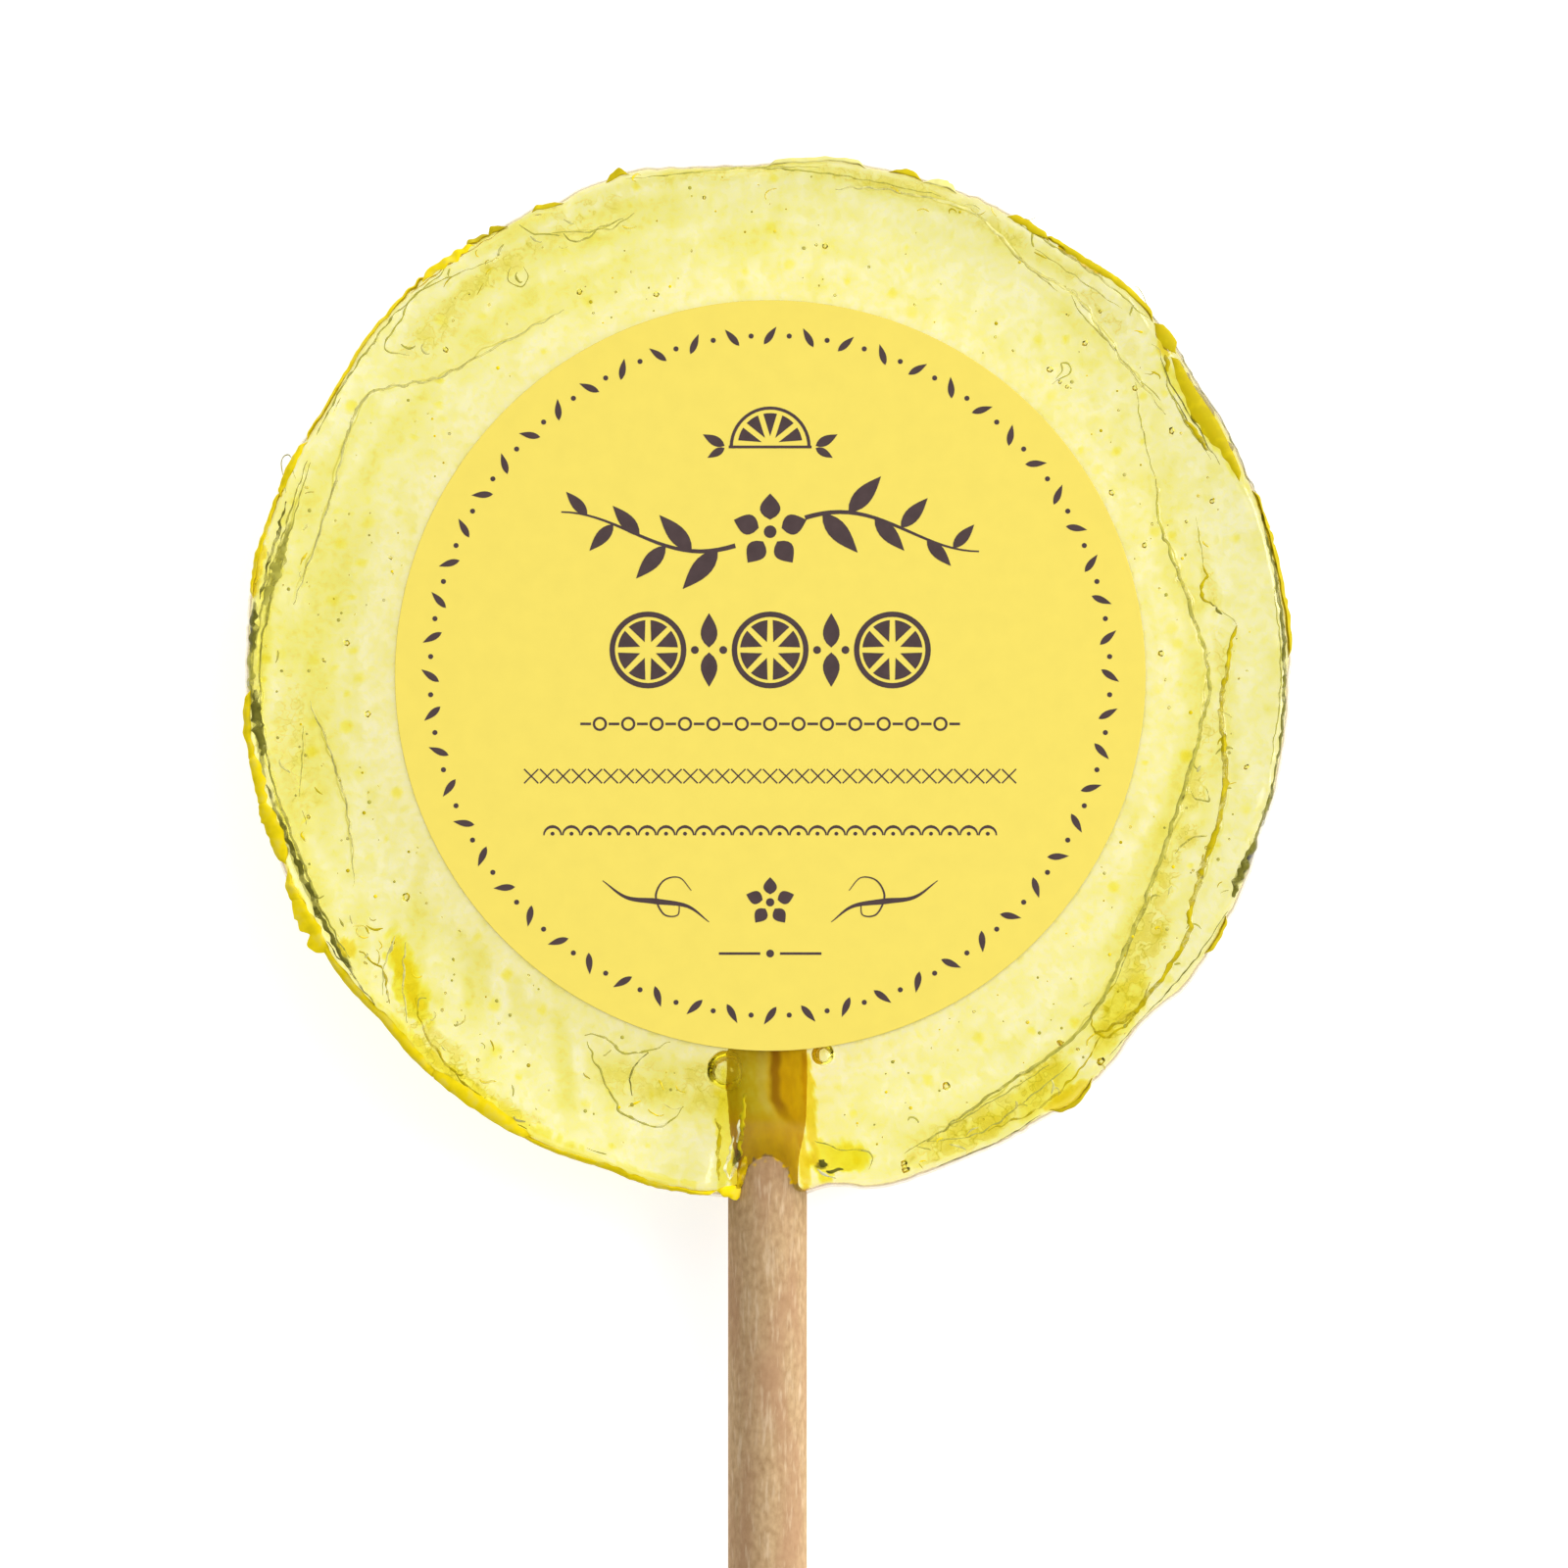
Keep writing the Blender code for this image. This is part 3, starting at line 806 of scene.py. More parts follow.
def face_height(angle, radius):
    """Height of the face, without the steps of its layers."""
    x, y = face_place(angle, radius)
    waves = np.sin(0.62 * x + 0.31 * y) + np.sin(0.74 * y - 0.45 * x + 1.1)
    relief = WAVE_HEIGHT * waves + RIPPLE_HEIGHT * wave_sum(x, y, RIPPLES)
    return FACE_HEIGHT + relief * smooth_step((radius - PAD_RADIUS) / WAVE_FADE) - pinch(angle, radius)


def skin_height(x, y):
    """Height of the candy's skin at a place in millimetres: the stepped face and its rounded edge."""
    angle, radius = np.degrees(np.arctan2(y, x)) % 360, np.hypot(x, y) * MM
    rounding = edge_rounding(angle)
    face_edge = rim_radius(angle) - WALL_LEAN - rounding
    on_face = np.minimum(radius, face_edge)
    steps = 0
    for seams in (INNER_SEAMS, OUTER_SEAMS):
        track, strength = seam_track(angle, seams)
        steps = steps + strength * smooth_step((on_face - track) / SEAM_HALF_WIDTH / 2 + 0.5)
    height = face_height(angle, on_face) - LAYER_STEP * steps
    over_edge = np.clip((radius - face_edge) / rounding, 0, 1)
    return height - edge_drop(height) * (1 - np.sqrt(1 - over_edge ** 2))


def edge_drop(edge_height):
    """How far the rounded edge falls from the face, without reaching the mould line."""
    return np.minimum(EDGE_DEPTH, edge_height - MOULD_LINE_HEIGHT - FLASH_ROOT)


def spread_rings(start, end, count):
    """Rings evenly spaced from start towards end, without the end itself."""
    return [start + (end - start) * ring / count for ring in range(count)]


# Candy

def seam_rings(track, steps, strength):
    """Three rings over a seam, where the layers step down by its strength."""
    return [
        (track - SEAM_HALF_WIDTH, steps, SEAM_FLANK * strength),
        (track, steps + 0.5 * strength, strength),
        (track + SEAM_HALF_WIDTH, steps + strength, SEAM_FLANK * strength),
    ]


def face_rings(angle, face_edge):
    """Radius, height and seam strength of the rings across the face; both seams lie on rings of their own."""
    inner, inner_strength = seam_track(angle, INNER_SEAMS)
    outer, outer_strength = seam_track(angle, OUTER_SEAMS)
    edge = SEAM_HALF_WIDTH
    outer = np.clip(outer, PAD_RADIUS + 9 * edge, face_edge - 3 * edge)
    inner = np.clip(inner, PAD_RADIUS + 3 * edge, outer - 3 * edge)
    nothing = np.zeros_like(angle)
    both = inner_strength + outer_strength
    near_label = [label_edge(angle) + gap for gap in LABEL_SHADE_RINGS]
    beyond_label = spread_rings(near_label[-1], inner - edge, RINGS_TO_INNER_SEAM)[1:]
    between = spread_rings(inner + edge, outer - edge, RINGS_BETWEEN_SEAMS)[1:]
    beyond = spread_rings(outer + edge, face_edge, RINGS_TO_EDGE)[1:]
    rings = [(radius, nothing, nothing) for radius in near_label + beyond_label]
    rings += seam_rings(inner, nothing, inner_strength)
    rings += [(radius, inner_strength, nothing) for radius in between]
    rings += seam_rings(outer, inner_strength, outer_strength)
    rings += [(radius, both, nothing) for radius in [*beyond, face_edge]]
    return [(radius, face_height(angle, radius) - LAYER_STEP * steps, seam) for radius, steps, seam in rings]


def candy_section(angle):
    """Rings of points from the label's pad out, round the edge and down to the back.

    Each ring has a radius, a height, a seam strength, how much of the painted colour it takes,
    and how much of the wall's own yellow.
    """
    rim = rim_radius(angle)
    rounding = edge_rounding(angle)
    face_edge = rim - WALL_LEAN - rounding
    none, full = np.zeros_like(angle), np.ones_like(angle)
    rings = [(radius, height, seam, 1, none) for radius, height, seam in face_rings(angle, face_edge)]
    edge_height = rings[-1][1]
    drop = edge_drop(edge_height)
    for ring in range(1, RINGS_ROUND_EDGE + 1):
        turn = math.pi / 2 * ring / RINGS_ROUND_EDGE
        radius = face_edge + rounding * math.sin(turn)
        height = edge_height - drop * (1 - math.cos(turn))
        rings.append((radius, height, none, 1, full * (turn > WALL_YELLOW_START)))
    wall_top = rings[-1][1]
    lip_top = MOULD_LINE_HEIGHT + FLASH_ROOT / 2
    for share in np.linspace(0, 1, RINGS_DOWN_WALL)[1:]:
        rings.append((rim - WALL_LEAN * (1 - share), wall_top + (lip_top - wall_top) * share, none, 1, full))
    rings.append((rim + MOULD_LIP, none + MOULD_LINE_HEIGHT, none, 0, full))
    lip_bottom = MOULD_LINE_HEIGHT - FLASH_ROOT / 2
    for share in np.linspace(0, 1, RINGS_DOWN_WALL):
        height = lip_bottom + (BACK_BEVEL - lip_bottom) * share
        rings.append((rim - WALL_LEAN * share, none + height, none, 0, full))
    rings.append((rim - WALL_LEAN - 0.3 * BACK_BEVEL, none + 0.3 * BACK_BEVEL, none, 0, none))
    rings.append((rim - WALL_LEAN - BACK_BEVEL, none, none, 0, none))
    return rings


def ring_faces(ring_count, steps):
    """Faces between rings of points, with flat faces over both ends."""
    index = np.arange(ring_count * steps).reshape(ring_count, steps)
    after = np.roll(index, -1, axis=1)
    quads = np.stack([index[:-1], index[1:], after[1:], after[:-1]], axis=-1).reshape(-1, 4)
    return [*quads.tolist(), index[0].tolist(), index[-1][::-1].tolist()]


def over_stick(x, y, size):
    """True where a small thing would touch the stick or the sunk place round it."""
    return y < 0 and abs(x) < PINCH_HALF_WIDTH / MM + size


def bubble_list():
    """Place, height and radius of each bubble: the named ones, then a seeded scatter of fine ones."""
    bubbles = list(NAMED_BUBBLES)
    draw = random.Random(71)
    for _ in range(SMALL_BUBBLE_COUNT):
        turn = draw.uniform(0, math.tau)
        radius = draw.uniform(*BUBBLE_BAND)
        size = SMALL_BUBBLE_RADII[0] + (SMALL_BUBBLE_RADII[1] - SMALL_BUBBLE_RADII[0]) * draw.random() ** 2
        height = draw.uniform(*BUBBLE_HEIGHTS)
        bubbles.append((radius * math.cos(turn), radius * math.sin(turn), height, size))
    return bubbles


def ball(subdivisions):
    """Points and inward-facing faces of a round bubble of radius 1."""
    bm = bmesh.new()
    bmesh.ops.create_icosphere(bm, subdivisions=subdivisions, radius=1)
    points = np.array([vertex.co for vertex in bm.verts])
    faces = [[vertex.index for vertex in reversed(face.verts)] for face in bm.faces]
    bm.free()
    return points, faces


def bubble_parts():
    """Points and faces of each bubble, without fine ones that would touch the stick."""
    large, small = ball(3), ball(1)
    parts = []
    for x, y, height, size in bubble_list():
        if size < LARGE_BUBBLE and over_stick(x, y, size):
            continue
        points, faces = large if size >= LARGE_BUBBLE else small
        parts.append((np.array((x, y, height)) * MM + points * size * MM, faces))
    return parts


def join_parts(name, parts):
    """One mesh from parts that are each given as points and faces."""
    all_points, all_faces = [], []
    count = 0
    for points, faces in parts:
        all_points.append(points)
        all_faces += [[count + index for index in face] for face in faces]
        count += len(points)
    mesh = bpy.data.meshes.new(name)
    mesh.from_pydata(np.concatenate(all_points).tolist(), [], all_faces)
    return mesh


def finished_mesh(name, bm):
    mesh = bpy.data.meshes.new(name)
    bm.to_mesh(mesh)
    bm.free()
    return mesh


def link_mesh(mesh, material, sharp_angle=0):
    """A piece from the mesh; with a sharp angle, in degrees, it is smooth where its faces meet at less."""
    if sharp_angle:
        mesh.shade_smooth()
        mesh.set_sharp_from_angle(angle=math.radians(sharp_angle))
    mesh.materials.append(material)
    piece = bpy.data.objects.new(mesh.name, mesh)
    bpy.context.scene.collection.objects.link(piece)
    return piece


def points_round(angle, radius, height):
    """Points at angles round the candy."""
    turn = np.radians(angle)
    return np.stack([radius * np.cos(turn), radius * np.sin(turn), height], axis=-1)


def add_point_values(mesh, name, values):
    """Store one number for each point of the mesh, for its material to read; bubbles keep 0."""
    attribute = mesh.attributes.new(name, "FLOAT", "POINT")
    padded = np.zeros(len(mesh.vertices), dtype=np.float32)
    padded[:values.size] = values.ravel()
    attribute.data.foreach_set("value", padded)


def add_candy_body(material):
    """The disc and its bubbles, with the values that its material paints with."""
    angle = np.arange(RIM_STEPS) * 360 / RIM_STEPS
    radius, height, seam, painted, wall = (np.array(values) for values in zip(*candy_section(angle)))
    painted = painted[:, None]
    points = points_round(angle, radius, height).reshape(-1, 3)
    mesh = join_parts("candy_body", [(points, ring_faces(*radius.shape)), *bubble_parts()])
    angles = np.broadcast_to(angle, radius.shape)
    on_face = painted * (radius > PAD_RADIUS)
    add_point_values(mesh, "seam", seam)
    for name, table in RAGGED_PATCHES.items():
        add_point_values(mesh, name, on_face * ragged_patches(angles, radius, *table))
    add_point_values(mesh, "cloud", painted * cloudiness(angles, radius))
    add_point_values(mesh, "shade", painted * label_shade(angles, radius))
    add_point_values(mesh, "yellow", np.maximum(on_face * smudges(angles, radius), wall))
    return link_mesh(mesh, material, SHARP_ANGLE)


# Fine relief on the candy

def polar_place(angle, radius):
    return radius * math.cos(math.radians(angle)), radius * math.sin(math.radians(angle))


def smooth_path(points, steps=8):
    """Points of a smooth curve through the given ones."""
    points = [np.array(point, dtype=float) for point in points]
    padded = [2 * points[0] - points[1], *points, 2 * points[-1] - points[-2]]
    path = []
    for before, start, end, after in zip(padded, padded[1:], padded[2:], padded[3:]):
        for t in np.arange(steps) / steps:
            bend = 2 * before - 5 * start + 4 * end - after
            twist = 3 * start - before - 3 * end + after
            path.append(start + 0.5 * t * (end - before + t * (bend + t * twist)))
    path.append(points[-1])
    return np.array(path)


def inside_rim(path, margin):
    """The path, pulled in where it would leave the candy's rim."""
    angle, radius = np.degrees(np.arctan2(path[:, 1], path[:, 0])) % 360, np.hypot(*path.T)
    limit = (rim_radius(angle) - WALL_LEAN) / MM - margin
    return path * np.minimum(limit / radius, 1)[:, None]


def running_mean(values, count):
    """Each value replaced by the mean of the count values round it."""
    padded = np.pad(values, count // 2, mode="edge")
    return np.convolve(padded, np.full(count, 1 / count), mode="valid")


def sideways_of(along):
    """Unit vectors to the left of the given directions."""
    along = along / np.linalg.norm(along, axis=1)[:, None]
    return np.stack([-along[:, 1], along[:, 0]], axis=1)


def line_ridge(half_width, ragged, path):
    """Rings of points of a low, tapered ridge, half sunk in the candy, along a path in millimetres."""
    x, y = path.T
    wiggle = min(LINE_WIGGLE, half_width)
    path = path + wiggle * np.stack([wave_noise(x, y, 0.9, 81), wave_noise(x, y, 0.9, 82)], axis=1)
    sideways = sideways_of(np.gradient(path, axis=0))
    taper = half_width * np.sin(np.pi * np.linspace(0.04, 0.96, len(path))) ** 0.5
    left = taper * np.clip(1 + ragged * wave_noise(x, y, 0.5, 83), 0.2, 2)
    right = taper * np.clip(1 + ragged * wave_noise(x, y, 0.5, 84), 0.2, 2)
    rise = min(LINE_RISE * half_width, LINE_TALLEST)
    loops = []
    for step in range(LINE_SIDES):
        turn = -math.tau * step / LINE_SIDES
        out = np.where(math.cos(turn) > 0, left, right) * math.cos(turn)
        place = path + sideways * out[:, None]
        height = skin_height(*place.T) / MM + rise * math.sin(turn)
        if half_width >= WIDE_LINE:
            height = running_mean(height, WIDE_LINE_SMOOTHING) + WIDE_LINE_LIFT
        loops.append(np.column_stack([place, height]))
    return np.stack(loops, axis=1) * MM


def broken_edge(angle, seed):
    """Seeded heights between 0 and 1 joined by straight lines, like the outline of chipped flakes."""
    draw = random.Random(int(angle[0] * 10) + seed)
    corners, heights = [angle[0]], [0.2]
    while corners[-1] < angle[-1]:
        corners.append(corners[-1] + draw.uniform(*FLAKE_SPACING))
        heights.append(draw.random() ** 0.7)
    return np.interp(angle, corners, heights)


def crust_hang(angle, swell, rim, outer_height):
    """Radius and height of the crust's lower edge, whose flakes hang over the candy's rounded edge."""
    rounding = edge_rounding(angle)
    face_edge = rim_radius(angle) - WALL_LEAN - rounding
    edge_height = skin_height(*face_place(angle, face_edge))
    shortest, longest = CRUST_HANG
    hang = shortest + (longest - shortest) * swell * broken_edge(angle, HANG_SEED) ** 2
    height = edge_height - edge_drop(edge_height) * hang
    height = np.minimum(height, outer_height - CRUST_THICKNESS * (1 + 2 * swell))
    depth = np.clip((edge_height - height) / edge_drop(edge_height), 0, 1)
    return np.minimum(face_edge + rounding * np.sqrt(1 - (1 - depth) ** 2), rim), height


def crust_ridge(start, end, width, flake, gap):
    """Rings of points of the golden crust, which lies over the candy's upper edge at a gap from the rim."""
    angle = np.arange(start, end, CRUST_STEP)
    swell = np.sin(np.pi * np.linspace(0.02, 0.98, len(angle)))
    taper = swell ** 0.4
    rim = rim_radius(angle) - gap * MM
    ragged = 1 + 0.2 * rim_noise(angle, 45, 91) + 0.12 * rim_noise(angle, 260, 92)
    smooth_inner = width * MM * taper
    inner = smooth_inner * np.clip(ragged, 0.3, 1.8)
    outer = flake * MM * taper * broken_edge(angle, 0) + 0.01 * MM
    thick = CRUST_THICKNESS
    seat = rim - np.maximum(smooth_inner, np.interp(width, *CRUST_SEAT) * MM)
    top = skin_height(*face_place(angle, seat))
    fall = CRUST_FALL * (1 + 0.1 * rim_noise(angle, 30, 95)) * swell ** 0.5
    low_radius, low_height = crust_hang(angle, swell, rim, top - fall)
    section = (
        (rim + outer, top - fall),
        (rim + 0.5 * outer, top - 0.75 * fall + 0.5 * thick),
        (rim - 0.2 * inner, top - 0.4 * fall + thick),
        (rim - 0.7 * inner, top - 0.1 * fall + thick),
        (rim - inner, top + 0.2 * thick),
        (rim - 0.95 * inner, top - thick),
        (low_radius - 2 * thick, low_height - 3 * thick),
        (low_radius + thick, low_height - thick),
        (rim + 0.6 * outer, top - fall - thick),
    )
    closing = smooth_step(np.minimum(angle - start, end - angle) / CRUST_ENDING + CRUST_TIP)
    loops = []
    for radius, height in section:
        loops.append(points_round(angle, seat + (radius - seat) * closing, top + (height - top) * closing))
    return np.stack(loops, axis=1)


def crease_list():
    """Short curved creases, scattered with a fixed seed: tone, half width and path of each."""
    draw = random.Random(73)
    creases = []
    for middle, extent, low, high, count in CREASE_AREAS:
        for _ in range(count):
            angle = middle + draw.uniform(-extent, extent)
            place = np.array(polar_place(angle, draw.uniform(low, high)))
            heading = math.radians(angle + 90) + draw.gauss(0, 0.6)
            step, bend = draw.uniform(*CREASE_STEP), draw.gauss(0, 0.3)
            half_width = draw.uniform(*CREASE_HALF_WIDTH)
            tone = draw.choice(("olive", "faint", "gold", "bright"))
            path = [place]
            for _ in range(CREASE_STEPS):
                path.append(path[-1] + step * np.array([math.cos(heading), math.sin(heading)]))
                heading += bend + draw.gauss(0, 0.15)
            if not over_stick(*place, 1):
                creases.append((tone, half_width, smooth_path(path, 2)))
    return creases


def grain_parts():
    """Small flattened grains that lie in the face: points, faces and tone of each."""
    draw = random.Random(74)
    grain_points, grain_faces = ball(2)
    grain_faces = [face[::-1] for face in grain_faces]
    parts = []
    for _ in range(GRAIN_COUNT):
        x, y = polar_place(draw.uniform(0, 360), draw.uniform(*GRAIN_BAND))
        size = GRAIN_RADII[0] + (GRAIN_RADII[1] - GRAIN_RADII[0]) * draw.random() ** 1.5
        tone = draw.choice(("olive", "olive", "gold", "bright"))
        if over_stick(x, y, size):
            continue
        centre = np.array((x * MM, y * MM, float(skin_height(np.array(x), np.array(y)))))
        points = centre + grain_points * (size * MM, size * MM, GRAIN_FLATNESS * size * MM)
        parts.append((points, grain_faces, tone))
    return parts


def ridge_part(rings, tone):
    return rings.reshape(-1, 3), ring_faces(*rings.shape[:2]), tone


def add_toned_piece(name, parts, material):
    """A piece from parts that are each given as points, faces and tone."""
    mesh = join_parts(name, [part[:2] for part in parts])
    tones = [np.full(len(points), LINE_TONES[tone]) for points, _, tone in parts]
    add_point_values(mesh, "tone", np.concatenate(tones))
    return link_mesh(mesh, material, RIDGE_SHARP_ANGLE)


def add_candy_lines(material):
    """Folds, cracks, creases and grains: fine relief half sunk in the candy's face; its dark lines are mostly
    painted shade and its pale lines painted highlights.
    """
    lines = []
    for tone, half_width, ragged, *places in RIM_LINES + INNER_SEAMS + OUTER_SEAMS:
        path = smooth_path([polar_place(*place) for place in places], 20)
        lines.append((tone, half_width, ragged, inside_rim(path, half_width)))
    for tone, half_width, ragged, *places in FACE_LINES:
        lines.append((tone, half_width, ragged, smooth_path(places, 12)))
    for tone, half_width, path in crease_list():
        lines.append((tone, half_width, CREASE_RAGGED, path))
    ridges = [ridge_part(line_ridge(*shape), tone) for tone, *shape in lines]
    return add_toned_piece("candy_lines", ridges + grain_parts(), material)


def add_rim_crust(material):
    """The golden crust and its flakes along stretches of the rim."""
    stretches = [(start, end, width, flake, CRUST_GAP, tone) for start, end, width, flake, tone in RIM_CRUST]
    stretches += [(start, end, width, 0, gap, tone) for start, end, gap, width, tone in RIM_FACETS]
    ridges = [ridge_part(crust_ridge(*sizes), tone) for *sizes, tone in stretches]
    return add_toned_piece("rim_crust", ridges, material)


# Stick

def soaked_places(x, along, z):
    """Where the stick is soaked with syrup, and which parts of that are core, pale streak and left side."""
    angle, out = np.degrees(np.arctan2(along, x)) % 360, np.hypot(x, along)
    x, down = x / MM, (SOAK_ZONE[0] - along) / MM
    ragged = wave_noise(x, down, 0.9, 97)
    frayed = SOAK_FRAY * wave_noise(x, down, 0.45, 98) * MM
    cover = np.minimum(face_height(angle, out) - z, along - SOAK_END) + SOAK_FADE * ragged + frayed
    bend = STREAK_BEND * np.maximum(down - STREAK_STRAIGHT, 0) ** 3
    beside = x - (STREAK_PLACE + bend + STREAK_SWAY * ragged)
    ending = smooth_step((STREAK_LENGTH - down) / STREAK_ENDING)
    places = {"soaked": smooth_step(cover / SOAK_FADE + 0.5)}
    for name, (strength, distance, width, fullness) in SOAKED_BANDS.items():
        places[name] = strength * ending * smooth_step(fullness - np.abs(beside - distance) / width)
    places["left"] = ending * smooth_step(0.5 - beside / 0.5)
    return places


def add_paper_stick(material):
    """Rolled paper: the outer sheet's edge makes a fine ledge, and the free end shows the roll."""
    turn = np.arange(STICK_SIDES) / STICK_SIDES
    ledge = STICK_RADIUS - PAPER_LEDGE * turn
    top, bottom = STICK_HIGH.y, STICK_LOW.y
    stretches = (
        np.linspace(top - BURIED_BEVEL_LENGTH, SOAK_ZONE[0], STICK_RINGS // 10, endpoint=False),
        np.linspace(*SOAK_ZONE, SOAK_RINGS, endpoint=False),
        np.linspace(SOAK_ZONE[1], bottom + END_BEVEL_LENGTH, STICK_RINGS),
    )
    rings = [(ledge * 0.9, top)]
    rings += [(ledge, y) for y in np.concatenate(stretches)]
    for radius in np.linspace(STICK_RADIUS - END_BEVEL, PIN_HOLE, END_RINGS):
        phase = radius / ROLL_PITCH + turn
        groove = ROLL_GROOVE * (0.5 - 0.5 * np.cos(math.tau * phase)) ** 2
        rings.append((np.minimum(radius, ledge * 0.97), bottom + groove))
    rings.append((PIN_HOLE * 0.9, bottom + PIN_HOLE_DEPTH))
    radius = np.array([np.broadcast_to(ring[0], turn.shape) for ring in rings])
    along = np.array([np.broadcast_to(ring[1], turn.shape) for ring in rings])
    x = radius * np.cos(math.tau * turn)
    z = radius * np.sin(math.tau * turn) + STICK_HEIGHT
    points = np.stack([x, along, z], axis=-1).reshape(-1, 3)
    mesh = join_parts("rolled_stick", [(points, ring_faces(*radius.shape))])
    for name, values in soaked_places(x, along, z).items():
        add_point_values(mesh, name, values)
    return link_mesh(mesh, material, SHARP_ANGLE)


# Label and its print

def add_label(material):
    """A paper disc with a fine bevel, sunk a little into the candy."""
    bm = bmesh.new()
    depth = LABEL_PAPER + LABEL_SUNK
    bmesh.ops.create_cone(
        bm,
        cap_ends=True,
        segments=LABEL_SIDES,
        radius1=LABEL_RADIUS,
        radius2=LABEL_RADIUS - LABEL_BEVEL,
        depth=depth,
        matrix=Matrix.Translation((LABEL_CENTRE_X, 0, LABEL_TOP - depth / 2)),
    )
    return link_mesh(finished_mesh("round_label", bm), material)


def ink_corner(bm, x, y, layer):
    """A point of the print, in millimetres from the label's middle; crossing shapes take different layers."""
    return bm.verts.new((x * MM + LABEL_CENTRE_X, y * MM, LABEL_TOP - INK_SUNK + layer * INK_LAYER))


def ink_outline(bm, outline, layer=0):
    """One flat inked shape, from the points round it."""
    bm.faces.new([ink_corner(bm, x, y, layer) for x, y in outline])


def ink_stroke(bm, points, widths, closed=False, layer=0):
    """A pen stroke along the points; widths is one number or three, for its start, middle and end."""
    path = np.array(points, dtype=float)
    if closed:
        ahead, behind = np.roll(path, -1, axis=0), np.roll(path, 1, axis=0)
    else:
        ahead, behind = np.vstack([path[1:], path[-1:]]), np.vstack([path[:1], path[:-1]])
    share = np.linspace(0, 1, len(path))
    width = np.interp(share, (0, 0.5, 1), np.broadcast_to(widths, 3))[:, None]
    side = sideways_of(ahead - behind) * width / 2
    left = [ink_corner(bm, x, y, layer) for x, y in path + side]
    right = [ink_corner(bm, x, y, layer) for x, y in path - side]
    last = len(path) if closed else len(path) - 1
    for step in range(last):
        after = (step + 1) % len(path)
        bm.faces.new((left[step], right[step], right[after], left[after]))


def arc(x, y, radius, start, end, steps=24):
    """Points round part of a circle, angles in degrees."""
    turns = np.radians(np.linspace(start, end, steps + 1))
    return np.stack([x + radius * np.cos(turns), y + radius * np.sin(turns)], axis=1)


def ink_dot(bm, x, y, radius):
    ink_outline(bm, arc(x, y, radius, 0, 360, 16)[:-1])


def ink_ring(bm, x, y, radius, width):
    ink_stroke(bm, arc(x, y, radius, 0, 360, 48)[:-1], width, closed=True)


def ink_leaf(bm, x, y, length, width, turn, layer=0):
    """A pointed leaf that starts at x, y and points along turn, in degrees."""
    share = np.linspace(0, 1, 9)
    bulge = width / 2 * np.sin(np.pi * share ** 0.8)
    along = np.concatenate([share, share[-2:0:-1]]) * length
    across = np.concatenate([bulge, -bulge[-2:0:-1]])
    cos, sin = polar_place(turn, 1)
    outline = np.stack([x + along * cos - across * sin, y + along * sin + across * cos], axis=1)
    ink_outline(bm, outline, layer)


def ink_slice_parts(bm, x, y, radius, start, end, count):
    """The wedge-shaped cells of a cut lemon between two angles."""
    step = (end - start) / count
    for cell in range(count):
        first, last = start + cell * step + 5, start + (cell + 1) * step - 5
        tip = arc(x, y, 0.22 * radius, (first + last) / 2, (first + last) / 2, 1)[:1]
        ink_outline(bm, np.vstack([tip, arc(x, y, 0.78 * radius, first, last, 6)]))


def ink_lemon_wheel(bm, x, y, radius):
    ink_ring(bm, x, y, 0.93 * radius, 0.14 * radius)
    ink_slice_parts(bm, x, y, radius, 0, 360, 8)


def ink_half_lemon(bm, x, y, radius):
    """Half a lemon slice with a pair of leaves on each side."""
    ink_stroke(bm, arc(x, y, 0.94 * radius, 0, 180), 0.16)
    ink_stroke(bm, [(x - radius, y), (x + radius, y)], 0.14, layer=1)
    ink_slice_parts(bm, x, y + 0.08, radius, 4, 176, 5)
    for side in (-1, 1):
        turn = 90 - side * 62
        ink_leaf(bm, x + side * radius * 1.1, y + 0.05, 1.25, 0.5, turn)
        ink_leaf(bm, x + side * radius * 1.1, y - 0.05, 1.0, 0.4, -90 + side * 60)


def ink_petal_ring(bm, radius, count):
    """Leaves and dots in turn round the label's margin."""
    for mark in range(count):
        turn = 360 * mark / count
        x, y = polar_place(turn, radius)
        if mark % 2:
            ink_dot(bm, x, y, 0.13)
            continue
        lean = 35 if mark % 4 else -35
        dx, dy = polar_place(turn + lean, 0.55)
        ink_leaf(bm, x - dx, y - dy, 1.1, 0.34, turn + lean)


def ink_sprig(bm, middle, reach, wave):
    """A leafy, waving stem across the label, with a blossom in its middle."""
    x_values = np.linspace(-reach, reach, 49)
    y_values = middle + wave * np.sin(x_values / reach * math.pi * 1.5)
    stem = np.stack([x_values, y_values], axis=1)
    ink_stroke(bm, stem[x_values < -1.5], (0.08, 0.16, 0.24))
    ink_stroke(bm, stem[x_values > 1.5], (0.24, 0.16, 0.08))
    for step in range(3, 46, 3):
        if abs(x_values[step]) < 1.9:
            continue
        out = 1 if x_values[step] > 0 else -1
        up = 1 if step % 2 else -1
        size = 3.1 - 1.7 * abs(x_values[step]) / reach
        turn = 90 - 90 * out + out * up * 48
        ink_leaf(bm, x_values[step], y_values[step], size, 0.36 * size, turn, layer=1)
    ink_blossom(bm, 0, middle, 1.9)


def ink_blossom(bm, x, y, radius):
    for petal in range(5):
        turn = 90 + 72 * petal
        start = arc(x, y, 0.32 * radius, turn, turn, 1)[0]
        ink_leaf(bm, *start, 0.7 * radius, 0.55 * radius, turn)
    ink_dot(bm, x, y, 0.17 * radius)


